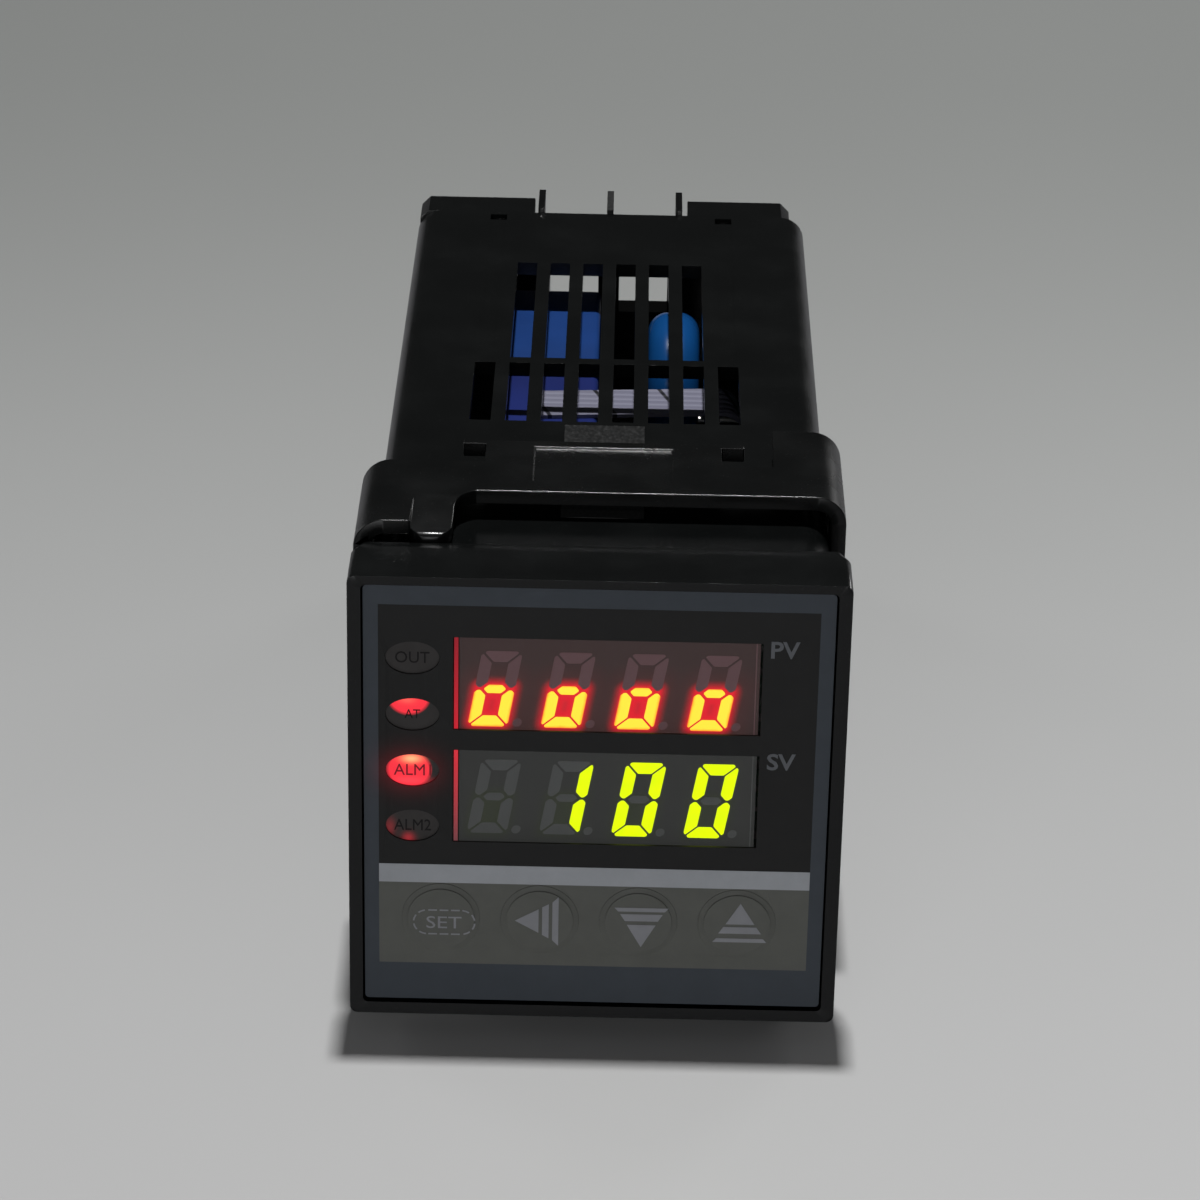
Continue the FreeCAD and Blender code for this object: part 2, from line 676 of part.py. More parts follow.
def terminal_screw(side, z):
    """Pan-head screw with its captive square clamping washer."""
    x = side * COLUMN_X
    washer_front = BLOCK_WALL_REAR + PLATE_THICK
    head_front = washer_front + 0.6
    washer = box(x - 2.8, x + 2.8, washer_front, head_front, z - 2.8, z + 2.8)
    shank = flats_y(SCREW_RADIUS, SCREW_FLATS, x, 97.2, head_front, z)
    head = flats_y(SCREW_HEAD, HEAD_FLATS, x, head_front, head_front + 1.8, z)
    rim = [edge for edge in head.Edges if edge.CenterOfMass.y > head_front + 1.7]
    return fuse_all([washer, shank, head.makeChamfer(0.5, rim)])


# ---- build --------------------------------------------------------------------------------
def main():
    os.makedirs("parts", exist_ok=True)
    save("housing", housing())
    save("mounting_bracket", mounting_bracket())
    save("front_frame", front_frame())
    save("front_overlay", front_overlay())
    save("display_filter", display_filter())
    save("pv_display", display_module(PV_WINDOW))
    save("sv_display", display_module(SV_WINDOW))
    for index, name in enumerate(LAMP_NAMES):
        save("lamp_" + name, lamp(index))
    for index, name in enumerate(KEY_NAMES):
        save("key_" + name, key(index))
        save("switch_" + name, tact_switch(index))
    save("display_board", display_board())
    save("power_board", side_board(-1))
    save("main_board", side_board(1))
    save("header_pins", header_pins())
    front_case, front_foot = relay(47.4, 67.8, 16.4)
    rear_case, rear_foot = relay(72.4, 92.8, 16.6)
    save("alarm_relay", front_case)
    save("output_relay", rear_case)
    save("relay_bases", Part.makeCompound([front_foot, rear_foot]))
    save("varistor", varistor())
    save("ribbon_cable", ribbon_cable())
    core, bobbin = transformer()
    save("transformer_core", core)
    save("transformer_bobbin", bobbin)
    save("input_capacitor", capacitor(7.0, 12.0, 48.0, -8.0))
    save("output_capacitor", capacitor(5.0, 11.0, 64.0, -8.0))
    save("microcontroller", microcontroller())
    save("terminal_block", terminal_block())
    save("terminal_barriers", terminal_barriers())
    places = terminal_places()
    save("terminal_plates", Part.makeCompound([terminal_plate(*place) for place in places]))
    save("terminal_screws", Part.makeCompound([terminal_screw(*place) for place in places]))


main()
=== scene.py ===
"""Looks of a panel-mounted PID temperature controller, laid out as a Blender add-on.

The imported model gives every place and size. Each operator below dresses one group of its
pieces, and main() runs them in order.
"""
import math

import bpy
from bpy.props import FloatProperty, FloatVectorProperty, PointerProperty, StringProperty
from mathutils import Matrix, Vector


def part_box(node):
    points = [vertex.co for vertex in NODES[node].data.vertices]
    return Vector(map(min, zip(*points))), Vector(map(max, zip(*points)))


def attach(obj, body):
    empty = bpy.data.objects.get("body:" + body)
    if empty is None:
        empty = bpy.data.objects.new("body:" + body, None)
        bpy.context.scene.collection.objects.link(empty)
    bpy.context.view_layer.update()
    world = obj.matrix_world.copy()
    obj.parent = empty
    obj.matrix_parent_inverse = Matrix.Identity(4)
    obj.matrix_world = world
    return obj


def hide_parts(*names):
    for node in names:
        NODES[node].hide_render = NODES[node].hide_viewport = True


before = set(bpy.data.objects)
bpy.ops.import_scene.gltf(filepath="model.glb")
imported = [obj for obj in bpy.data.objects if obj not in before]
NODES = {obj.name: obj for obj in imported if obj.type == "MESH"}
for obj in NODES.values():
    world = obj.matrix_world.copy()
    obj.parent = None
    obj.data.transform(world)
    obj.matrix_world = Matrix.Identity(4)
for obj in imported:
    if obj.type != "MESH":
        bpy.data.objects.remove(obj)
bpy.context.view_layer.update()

bl_info = {
    "name": "Temperature Controller Looks",
    "version": (1, 0, 0),
    "blender": (4, 5, 0),
    "location": "View3D > Sidebar > Controller",
    "description": "Finishes, display digits, lettering and stage of a panel temperature controller",
    "category": "Object",
}

MM = 0.001
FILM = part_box("front_overlay")
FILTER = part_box("display_filter")
KEYS = ("set", "shift", "down", "up")

BLACK, WHITE = (0.0, 0.0, 0.0), (1.0, 1.0, 1.0)
DIFFUSER = (0.02, 0.02, 0.02)  # body of a lit part

PRINT = 0.03 * MM  # thickness of a printed mark
MARK = 0.05 * MM  # thickness of a key's symbol and of a lamp's oval
FIELD_SIDE, FIELD_TOP = 1.43 * MM, 2.0 * MM  # margins of the film's printed fields
FIELD_BASE, BAR_BASE, STRIP_BASE = 14.82 * MM, 12.79 * MM, 3.7 * MM  # above the film's base
WORD_SIZE = (2.76 * MM, 1.80 * MM)  # width and height of PV and SV
SHEET_DROP = 0.42 * MM  # how far the film's lower edge is drawn down
WINDOW_EDGES = (13.0 * MM, 17.4 * MM)  # a spare bay's window, off the axis
RACK = (4.2 * MM, 22.55 * MM, 10.0 * MM)  # teeth: half width, off the axis, behind the front
CAP_RADIUS, FACE_RADIUS = 3.84 * MM, 3.3 * MM  # key cap at its rim and at its face
OVAL = (2.58 * MM, 1.73 * MM)  # half width and half height of a lamp's oval
WASHER, HEAD_THICK = 5.6 * MM, 1.8 * MM  # side of a screw's washer, thickness of its head
DISC_RADIUS, DISC_THICK, DISC_ROUND = 8.0 * MM, 5.8 * MM, 2.3 * MM
WIRE_PITCH, CODE_PITCH = 1.27 * MM, 7.2 * MM  # flat cable: its wires, its printed code
DIGITS_LEFT = 1.15 * MM  # the digits stand left of their display's middle

SEGMENTS_OF = {
    "0": "abcdef", "1": "bc", "2": "abged", "3": "abgcd", "4": "fgbc", "5": "afgcd",
    "6": "afgedc", "7": "abc", "8": "abcdefg", "9": "abcdfg", "o": "cdeg", "-": "g", " ": "",
}
# Each display: how far its digits stand below its middle, (colour, painted glow) of its unlit segments
# and of its face, and the light at the foot and at the head of the gap beside it
DISPLAYS = {
    "pv": {"drop": 0.5 * MM, "unlit": ((0.16, 0.11, 0.113), (0.110, 0.060, 0.066)),
           "face": ((0.060, 0.044, 0.043), (0.058, 0.038, 0.037)),
           "gap": ((1.0, 0.035, 0.06), (0.42, 0.025, 0.04))},
    "sv": {"drop": 0.05 * MM, "unlit": ((0.10, 0.103, 0.105), (0.064, 0.067, 0.066)),
           "face": ((0.034, 0.035, 0.035), (0.044, 0.0455, 0.044)),
           "gap": ((0.24, 0.09, 0.10), (1.15, 0.05, 0.08))},
}
# painted greenish glow on the SV display's face round its lit digits
SV_HALO = (0.046, 0.054, 0.034)
LAMP_WORDS = {  # width and height of each lamp's name
    "out": (3.3 * MM, 1.2 * MM), "at": (1.5 * MM, 0.95 * MM),
    "alm1": (3.6 * MM, 1.2 * MM), "alm2": (3.6 * MM, 1.2 * MM),
}
# Bars of each arrow, in millimetres: start, end, half width at the start and at the end
ARROW_BARS = {
    "shift": [(-2.73, -0.40, 0.0, 1.33), (-0.05, 0.60, 1.55, 1.92), (0.95, 1.56, 2.12, 2.75)],
    "down": [(2.70, 0.20, 0.0, 1.42), (-0.22, -1.0, 1.62, 2.10), (-1.29, -1.72, 2.30, 2.66)],
    "up": [(2.45, 0.10, 0.0, 1.42), (-0.20, -0.95, 1.62, 2.10), (-1.49, -1.92, 2.30, 2.66)],
}
# Lights: name, place, target, size, share of four times the key power, colour
LIGHTS = (
    ("overhead", (0.0, 0.014, 0.90), (0, 0, 0), 0.035, 1.0, WHITE),
    ("front_fill", (-0.12, -0.85, 0.24), (0, 0, 0.02), 0.5, 0.175, (0.98, 0.99, 1.0)),
    ("rear_fill_right", (0.62, 0.70, 0.32), (0, 0, 0.02), 0.3, 0.16, WHITE),
    ("rear_fill_left", (-0.72, 0.52, 0.30), (0, 0, 0.02), 0.3, 0.12, WHITE),
)
CAMERA_PLACE = (1.5 * MM, -418.9 * MM, 223.0 * MM)
CAMERA_TURN = (-0.233, 25.70, 1.14)  # yaw, pitch and roll, in degrees


# ---- settings ----
def colour_property(name, description, default):
    return FloatVectorProperty(
        name=name, description=description, default=default, size=3, min=0, max=100, subtype="COLOR"
    )


def length_property(name, description, millimetres):
    return FloatProperty(
        name=name, description=description, default=millimetres * MM, min=0, unit="LENGTH", precision=5
    )


class PlasticSettings(bpy.types.PropertyGroup):
    """Black moulded case, bracket and terminal block."""
    colour: colour_property("Colour", "Colour of the moulded plastic", (0.0030, 0.0034, 0.0034))
    edge_round: length_property("Edge round", "Radius on the moulded edges", 0.14)
    grain: length_property("Grain", "Size of the moulded texture's grain", 0.22)


class LabelSettings(bpy.types.PropertyGroup):
    """Printed film of the front."""
    border: colour_property("Border", "Slate colour of the film's border", (0.0590, 0.0690, 0.0830))
    panel: colour_property("Panel", "Black field round the displays", (0.0220, 0.0220, 0.0220))
    bar: colour_property("Bar", "Light bar below the displays", (0.380, 0.397, 0.426))
    strip: colour_property("Key strip", "Warm grey strip behind the keys", (0.125, 0.128, 0.117))
    lettering: colour_property("Lettering", "Colour of PV and SV", (0.135, 0.142, 0.155))
    icons: colour_property("Icons", "Colour of the key symbols", (0.265, 0.270, 0.290))


class DisplaySettings(bpy.types.PropertyGroup):
    """Two four-digit displays and four lamps."""
    process_value: StringProperty(
        name="Process value", description="Four characters shown in the upper display", default="oooo"
    )
    set_value: StringProperty(
        name="Set value", description="Four characters shown in the lower display", default=" 100"
    )
    digit_width: length_property("Digit width", "Width of one digit, without its slant", 3.9)
    digit_height: length_property("Digit height", "Height of one digit", 8.1)
    pitch: length_property("Pitch", "Distance from one digit to the next", 7.04)
    stroke: length_property("Stroke", "Width of a segment", 1.15)
    slant: FloatProperty(
        name="Slant", description="Lean of the digits", default=math.radians(10.0), subtype="ANGLE"
    )
    process_colour: colour_property("Process colour", "Light of the upper digits", (2.2, 1.45, 0.10))
    set_colour: colour_property("Set colour", "Light of the lower digits", (1.35, 1.75, 0.0))
    halo_colour: colour_property("Halo", "Red light round the upper digits", (1.5, 0.015, 0.045))
    lamp_colour: colour_property("Lamp colour", "Light of the lamps", (0.95, 0.018, 0.040))


class StageSettings(bpy.types.PropertyGroup):
    """Table top, lights and camera."""
    table: colour_property("Table", "Colour of the table top", (0.472, 0.472, 0.472))
    key_power: FloatProperty(
        name="Key power", description="Power of the light overhead", default=2.06, min=0, unit="POWER"
    )
    lens: FloatProperty(
        name="Lens", description="Focal length for a 36 mm wide sensor, in millimetres",
        default=128.1, min=1,
    )
    tilt: FloatProperty(
        name="Tilt", default=math.atan2(2.6, 76.1), subtype="ANGLE",
        description="Slope of the table under the part, which rests on its bracket and terminals",
    )


# ---- modelling helpers ----
def centre(node):
    """Middle of a node across and up, as (x, z)."""
    low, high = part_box(node)
    return (low.x + high.x) / 2, (low.z + high.z) / 2


def deselect():
    if bpy.context.object and bpy.context.object.mode != "OBJECT":
        bpy.ops.object.mode_set(mode="OBJECT")
    bpy.ops.object.select_all(action="DESELECT")


def only(piece):
    deselect()
    piece.select_set(True)
    bpy.context.view_layer.objects.active = piece


def settle(piece):
    """Puts a piece's place and size into its mesh, its object at the origin."""
    only(piece)
    bpy.ops.object.transform_apply(location=True, rotation=True, scale=True)
    return piece


def solid(primitive, **values):
    """A settled primitive."""
    deselect()
    primitive(**values)
    return settle(bpy.context.object)


def join(pieces, name):
    deselect()
    for piece in pieces:
        piece.select_set(True)
    bpy.context.view_layer.objects.active = pieces[0]
    if len(pieces) > 1:
        bpy.ops.object.join()
    pieces[0].name = name
    pieces[0].data.name = name
    return settle(pieces[0])


def apply_modifier(piece, kind, **values):
    only(piece)
    modifier = piece.modifiers.new(kind.title(), kind)
    for key, value in values.items():
        setattr(modifier, key, value)
    bpy.ops.object.modifier_apply(modifier=modifier.name)


def edit(piece, *steps):
    """Runs edit-mode steps on the whole of a piece."""
    only(piece)
    bpy.ops.object.mode_set(mode="EDIT")
    bpy.ops.mesh.select_all(action="SELECT")
    for step in steps:
        step()
    bpy.ops.object.mode_set(mode="OBJECT")


def outwards(piece):
    edit(piece, lambda: bpy.ops.mesh.remove_doubles(threshold=0.000001),
         lambda: bpy.ops.mesh.normals_make_consistent(inside=False))
    return piece


def smooth(piece, degrees):
    only(piece)
    bpy.ops.object.shade_smooth_by_angle(angle=math.radians(degrees))


def paint(piece, mat):
    piece.data.materials.clear()
    piece.data.materials.append(mat.material)


def dress(piece, mat, body):
    paint(piece, mat)
    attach(piece, body)


def turns(count):
    """The angles of a whole turn in equal steps."""
    return [2 * math.pi * step / count for step in range(count)]


def upright(left, width, low, high):
    """Outline of an upright bar of the front, 0.2 mm short of both its ends."""
    low, high = low + 0.2 * MM, high - 0.2 * MM
    return [(left, low), (left + width, low), (left + width, high), (left, high)]


def plate(name, outline, back, thick, corner=0.0):
    """A flat plate that faces the front: an outline of (x, z), its corners rounded."""
    deselect()
    bpy.ops.mesh.primitive_circle_add(vertices=len(outline), radius=MM, fill_type="NGON")
    piece = bpy.context.object
    piece.name = name
    for vertex, (x, z) in zip(piece.data.vertices, outline):
        vertex.co = (x, back, z)
    if corner:
        edit(piece, lambda: bpy.ops.mesh.bevel(offset=corner, segments=4, affect="VERTICES"))
    edit(piece, lambda: bpy.ops.mesh.extrude_region_move(
        TRANSFORM_OT_translate={"value": (0, -thick, 0)}))
    return outwards(piece)


def lettering(name, body_text, left, base, size, back, thick, bold=0.0):
    """Words as a thin raised mesh that faces the front: lower left corner, (width, height)."""
    deselect()
    bpy.ops.object.text_add()
    words = bpy.context.object
    words.data.body = body_text
    words.data.extrude = 0.5
    words.data.resolution_u = 3
    words.data.offset = bold
    bpy.ops.object.convert(target="MESH")
    words = bpy.context.object
    words.name = name
    low, high = Vector(words.bound_box[0]), Vector(words.bound_box[6])
    wide = size[0] / (high.x - low.x)
    tall = size[1] / (high.y - low.y)
    for vertex in words.data.vertices:
        point = vertex.co - low
        vertex.co = (left + point.x * wide, back - point.z * thick, base + point.y * tall)
    return outwards(words)


def soften(node, name, width, body, mat, reshape=None):
    """A copy of a CAD node with its moulded edges rounded, which stands for the node."""
    piece = NODES[node].copy()
    piece.data = NODES[node].data.copy()
    piece.name = name
    piece.data.name = name
    for key in [key for key in piece.keys() if key.startswith("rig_")]:
        del piece[key]
    piece.parent = None
    bpy.context.scene.collection.objects.link(piece)
    only(piece)
    if piece.data.has_custom_normals:
        bpy.ops.mesh.customdata_custom_splitnormals_clear()
    edit(piece, lambda: bpy.ops.mesh.remove_doubles(threshold=0.000002))
    if reshape:
        reshape(piece)
    apply_modifier(piece, "BEVEL", width=width, segments=2, limit_method="ANGLE",
                   angle_limit=math.radians(34))
    smooth(piece, 50)
    apply_modifier(piece, "WEIGHTED_NORMAL", mode="FACE_AREA", weight=80, keep_sharp=True)
    dress(piece, mat, body)
    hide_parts(node)


# ---- shader groups ----
SOCKETS = {"Place": "NodeSocketVector", "Colour": "NodeSocketColor"}  # the others are floats
SURFACE = ("Colour", "Roughness", "Height")


def shade(colour, share):
    return [channel * share for channel in colour]


class Graph:
    """A node tree with short calls for the nodes and links that the finishes use."""

    def __init__(self, tree):
        self.tree = tree

    def node(self, kind, inputs=(), **values):
        made = self.tree.nodes.new(kind)
        for key, value in values.items():
            setattr(made, key, value)
        for key, value in dict(inputs).items():
            self.put(value, made.inputs[key])
        return made

    def put(self, value, socket):
        if isinstance(value, bpy.types.NodeSocket):
            self.tree.links.new(value, socket)
        elif hasattr(value, "__len__") and len(value) == 3 and socket.type == "RGBA":
            socket.default_value = (*value, 1)
        else:
            socket.default_value = value

    def math(self, operation, *values, clamp=False):
        made = self.node("ShaderNodeMath", operation=operation, use_clamp=clamp)
        for socket, value in zip(made.inputs, values):
            self.put(value, socket)
        return made.outputs[0]

    def plus(self, first, second):
        return self.math("ADD", first, second)

    def minus(self, first, second):
        return self.math("SUBTRACT", first, second)

    def times(self, *values):
        product = values[0]
        for value in values[1:]:
            product = self.math("MULTIPLY", product, value)
        return product

    def above(self, value, limit):
        return self.math("GREATER_THAN", value, limit)

    def below(self, value, limit):
        return self.math("LESS_THAN", value, limit)

    def mix(self, factor, first, second, blend="MIX"):
        made = self.node("ShaderNodeMix", data_type="RGBA", blend_type=blend)
        for number, value in ((0, factor), (6, first), (7, second)):
            self.put(value, made.inputs[number])
        return made.outputs[2]

    def noise(self, vector, scale, detail=2.0, rough=0.5):
        made = self.node("ShaderNodeTexNoise", {"Vector": vector, "Scale": scale, "Detail": detail,
                                                "Roughness": rough})
        return made.outputs["Fac"]

    def ramp(self, factor, low, high):
        """factor mapped from low..high onto 0..1, clamped."""
        made = self.node("ShaderNodeMapRange", {"Value": factor, "From Min": low, "From Max": high},
                         clamp=True)
        return made.outputs[0]

    def split(self, vector):
        return self.node("ShaderNodeSeparateXYZ", {"Vector": vector}).outputs


def shader_group(name, inputs, outputs):
    """An empty group, as (graph, entry sockets, exit sockets); its first socket is the place."""
    tree = bpy.data.node_groups.new(name, "ShaderNodeTree")
    for way, titles in (("INPUT", ("Place", *inputs)), ("OUTPUT", outputs)):
        for title in titles:
            kind = SOCKETS.get(title, "NodeSocketFloat")
            tree.interface.new_socket(title, in_out=way, socket_type=kind)
    graph = Graph(tree)
    return graph, graph.node("NodeGroupInput").outputs, graph.node("NodeGroupOutput").inputs


def moulded_group():
    """Spark-eroded plastic: fine grain, cloudy gloss, a little dust."""
    graph, entry, leave = shader_group(
        "Moulded grain", ("Colour", "Grain", "Roughness", "Dust"), SURFACE)
    fine = graph.noise(entry["Place"], entry["Grain"], 3.0, 0.6)
    cloud = graph.noise(entry["Place"], 130.0, 3.0)
    specks = graph.noise(entry["Place"], 5200.0, 1.0)
    dust = graph.times(graph.ramp(specks, 0.72, 0.80), entry["Dust"])
    pale = graph.ramp(cloud, 0.35, 0.7)
    tone = graph.mix(pale, entry["Colour"], (1.35, 1.35, 1.35), "MULTIPLY")
    tone = graph.mix(pale, entry["Colour"], tone)
    graph.put(graph.mix(dust, tone, (0.16, 0.16, 0.155)), leave["Colour"])
    rough = graph.plus(entry["Roughness"], graph.times(graph.minus(cloud, 0.5), 0.25))
    graph.put(graph.plus(rough, graph.times(dust, 0.3)), leave["Roughness"])
    graph.put(graph.plus(fine, dust), leave["Height"])
    return graph.tree


def film_group():
    """Satin polyester film: a very fine even grain and slight tone changes."""
    graph, entry, leave = shader_group("Film satin", ("Colour", "Roughness", "Mottle"), SURFACE)
    cloud = graph.noise(entry["Place"], 420.0, 4.0, 0.65)
    swing = graph.times(graph.minus(cloud, 0.5), entry["Mottle"])
    tone = graph.plus(1.0, graph.times(swing, 2.0))
    grey = graph.node("ShaderNodeCombineColor", {"Red": tone, "Green": tone, "Blue": tone}).outputs[0]
    graph.put(graph.mix(1.0, entry["Colour"], grey, "MULTIPLY"), leave["Colour"])
    graph.put(graph.plus(entry["Roughness"], swing), leave["Roughness"])
    graph.put(graph.noise(entry["Place"], 9000.0, 2.0), leave["Height"])
    return graph.tree


def zone_group():
    """1 inside a rectangle of the front, 0 outside it."""
    graph, entry, leave = shader_group("Zone", ("Left", "Right", "Low", "High"), ("Mask",))
    x, _, z = graph.split(entry["Place"])
    graph.put(graph.times(graph.above(x, entry["Left"]), graph.below(x, entry["Right"]),
                          graph.above(z, entry["Low"]), graph.below(z, entry["High"])), leave["Mask"])
    return graph.tree


def glow_group():
    """1 at a point of the front, falling to 0 at a distance, taller or wider as asked."""
    graph, entry, leave = shader_group("Glow spot", ("X", "Z", "Width", "Height"), ("Glow",))
    x, _, z = graph.split(entry["Place"])
    across = graph.math("DIVIDE", graph.minus(x, entry["X"]), entry["Width"])
    up = graph.math("DIVIDE", graph.minus(z, entry["Z"]), entry["Height"])
    square = graph.plus(graph.times(across, across), graph.times(up, up))
    graph.put(graph.math("POWER", 2.718, graph.times(square, -1.0)), leave["Glow"])
    return graph.tree


def ring_group():
    """Distance from the lit ring of the nearest of four digits, shorter inside the ring."""
    graph, entry, leave = shader_group(
        "Digit ring", ("First", "Base", "Pitch", "Lean", "Half width", "Half height", "Middle"),
        ("Distance",))
    x, _, z = graph.split(entry["Place"])
    up = graph.minus(z, entry["Base"])
    across = graph.minus(graph.minus(x, entry["First"]), graph.times(up, entry["Lean"]))
    digit = graph.math("ROUND", graph.math("DIVIDE", across, entry["Pitch"]))
    digit = graph.math("MINIMUM", graph.math("MAXIMUM", digit, 0.0), 3.0)
    across = graph.minus(across, graph.times(digit, entry["Pitch"]))
    side = graph.minus(graph.math("ABSOLUTE", across), entry["Half width"])
    top = graph.minus(graph.math("ABSOLUTE", graph.minus(up, entry["Middle"])), entry["Half height"])
    out_side = graph.math("MAXIMUM", side, 0.0)
    out_top = graph.math("MAXIMUM", top, 0.0)
    square = graph.plus(graph.times(out_side, out_side), graph.times(out_top, out_top))
    inside = graph.math("MINIMUM", graph.math("MAXIMUM", side, top), 0.0)
    reach = graph.plus(graph.math("SQRT", square), graph.times(inside, 0.45))
    graph.put(graph.math("ABSOLUTE", reach), leave["Distance"])
    return graph.tree


GROUP_MAKERS = {"Moulded grain": moulded_group, "Film satin": film_group, "Zone": zone_group,
                "Glow spot": glow_group, "Digit ring": ring_group}


# ---- materials ----
class Finish(Graph):
    """A new material, with short calls for the sockets of its shader and its bump."""

    def __init__(self, name, roughness=0.5, specular=0.5, bump=0.0, distance=0.02 * MM, metallic=0.0):
        self.material = bpy.data.materials.new(name)
        self.material.use_nodes = True
        super().__init__(self.material.node_tree)
        self.shader = self.tree.nodes["Principled BSDF"].inputs
        self.shader["Roughness"].default_value = roughness
        self.shader["Specular IOR Level"].default_value = specular
        self.shader["Metallic"].default_value = metallic
        relief = self.node("ShaderNodeBump", {"Strength": bump, "Distance": distance})
        self.put(relief.outputs[0], self.shader["Normal"])
        self.bump = relief.inputs
        self.place = self.node("ShaderNodeTexCoord").outputs["Object"]

    def wear(self, colour=None, rough=None, height=None, light=None):
        """Feeds the sockets that are given, and gives the finish back."""
        for value, socket in ((colour, self.shader["Base Color"]), (rough, self.shader["Roughness"]),
                              (height, self.bump["Height"]), (light, self.shader["Emission Color"])):
            if value is not None:
                self.put(value, socket)
        if light is not None:
            self.shader["Emission Strength"].default_value = 1.0
        return self

    def group(self, name, **values):
        """The outputs of a shader group, which is made at its first use."""
        tree = bpy.data.node_groups.get(name) or GROUP_MAKERS[name]()
        return self.node("ShaderNodeGroup", {"Place": self.place, **values}, node_tree=tree).outputs

    def surface(self, name, **values):
        """Colour, roughness and height from one shader group."""
        made = self.group(name, **values)
        return self.wear(made["Colour"], made["Roughness"], made["Height"])


def moulded_plastic(name, colour, roughness=0.20, dust=0.10):
    grain = 1.0 / bpy.context.scene.controller_plastic.grain
    return Finish(name, bump=0.25, distance=0.03 * MM).surface(
        "Moulded grain", Colour=colour, Grain=grain, Roughness=roughness, Dust=dust)


def case_plastic(name, colour):
    """The case's black plastic, matt and speckled on the teeth of its racks."""
    mat = moulded_plastic(name, colour)
    plain = mat.shader["Roughness"].links[0].from_socket
    half_width, inner, start = RACK
    x, y, z = mat.split(mat.place)
    off_axis = mat.math("ABSOLUTE", mat.minus(z, centre("housing")[1]))
    teeth = mat.times(mat.below(mat.math("ABSOLUTE", x), half_width), mat.above(off_axis, inner),
                      mat.above(y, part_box("housing")[0].y + start))
    speckle = mat.plus(0.62, mat.times(mat.noise(mat.place, 2600.0, 1.0), 0.6))
    rough = mat.node("ShaderNodeMix", data_type="FLOAT")
    for number, value in ((0, teeth), (2, plain), (3, speckle)):
        mat.put(value, rough.inputs[number])
    return mat.wear(rough=rough.outputs[0])


def printed_film(name, colour, mottle=0.12, roughness=0.5, light=BLACK):
    return Finish(name, specular=0.2, bump=0.15).wear(light=light).surface(
        "Film satin", Colour=colour, Roughness=roughness, Mottle=mottle)


def overlay_film():
    """The whole printed front: slate border, black field, light bar and grey key strip, with a painted
    red glow round the lit ALM1 lamp.
    """
    label = bpy.context.scene.controller_label
    mat = Finish("Printed front film", specular=0.2, bump=0.15)
    side, top = FILM[1].x - FIELD_SIDE, FILM[1].z - FIELD_TOP
    colour = label.border[:]
    for foot, tone in ((FIELD_BASE, label.panel), (BAR_BASE, label.bar), (STRIP_BASE, label.strip)):
        low = FILM[0].z + foot
        mask = mat.group("Zone", Left=-side, Right=side, Low=low, High=top)["Mask"]
        colour = mat.mix(mask, colour, tone[:])
        top = low
    mat.surface("Film satin", Colour=colour, Roughness=0.5, Mottle=0.12)
    # painted red glow on the film round the lit ALM1 lamp
    x, z = centre("lamp_alm1")
    halo = mat.group("Glow spot", X=x - 0.3 * MM, Z=z, Width=2.6 * MM, Height=2.0 * MM)["Glow"]
    return mat.wear(light=mat.mix(halo, BLACK, (0.09, 0.0012, 0.004)))


def glowing(name, colour):
    """A lit diffuser, uneven by a slow noise."""
    mat = Finish(name, roughness=0.4, specular=0.2, bump=0.05)
    wave = mat.noise(mat.place, 900.0, 2.0)
    light = mat.mix(mat.ramp(wave, 0.3, 0.75), colour, shade(colour, 1.12))
    return mat.wear(DIFFUSER, light=light)


def hot_segments(name, core, rim, ring):
    """Lit segments: their middle line in the core colour, their rim in the halo's."""
    mat = Finish(name, roughness=0.4, specular=0.2, bump=0.05)
    distance = mat.group("Digit ring", **ring)["Distance"]
    wave = mat.noise(mat.place, 1300.0, 2.0)
    uneven = mat.plus(distance, mat.times(wave, 0.28 * MM))
    middle = [channel * share for channel, share in zip(core, (1.0, 0.42, 0.5))]
    tone = mat.mix(mat.ramp(uneven, 0.42 * MM, 0.80 * MM), core, middle)
    light = mat.mix(mat.ramp(distance, 0.47 * MM, 0.60 * MM), tone, rim)
    return mat.wear(DIFFUSER, light=light)


def light_gap(name, low, high, foot, head):
    """Light that leaks beside a display: one colour at its foot, another at its head."""
    mat = Finish(name, specular=0.2, bump=0.05)
    rise = mat.ramp(mat.split(mat.place)[2], low, high)
    wave = mat.noise(mat.place, 700.0, 2.0)
    return mat.wear((0.02, 0.01, 0.01), height=wave, light=mat.mix(rise, foot, head))


def circuit_board_finish():
    """Green solder mask with tinned pads and darker tracks."""
    mat = Finish("Solder mask", bump=0.3, distance=0.05 * MM)
    tracks = mat.node("ShaderNodeTexBrick", {
        "Vector": mat.place, "Scale": 260.0, "Mortar Size": 0.05,
        "Color1": BLACK, "Color2": (0.3, 0.3, 0.3), "Mortar": WHITE})
    pads = mat.node("ShaderNodeTexVoronoi", {"Vector": mat.place, "Scale": 390.0, "Randomness": 0.25})
    pad = mat.ramp(pads.outputs["Distance"], 0.24, 0.16)
    green = mat.mix(tracks.outputs["Color"], (0.012, 0.085, 0.03), (0.02, 0.14, 0.05))
    return mat.wear(mat.mix(pad, green, (0.5, 0.5, 0.48)),
                    mat.plus(0.3, mat.times(pad, 0.1)), pad)


def metal_finish(name, colour, roughness=0.3):
    """Metal with a fine brushed grain and darker stains."""
    mat = Finish(name, metallic=1.0, bump=0.12)
    stretched = mat.node("ShaderNodeMapping", {"Vector": mat.place, "Scale": (1.0, 1.0, 9.0)})
    brush = mat.noise(stretched.outputs[0], 900.0, 3.0)
    stain = mat.ramp(mat.noise(mat.place, 260.0, 3.0), 0.45, 0.75)
    return mat.wear(mat.mix(stain, colour, shade(colour, 0.72)),
                    mat.plus(roughness, mat.times(brush, 0.2)), brush)


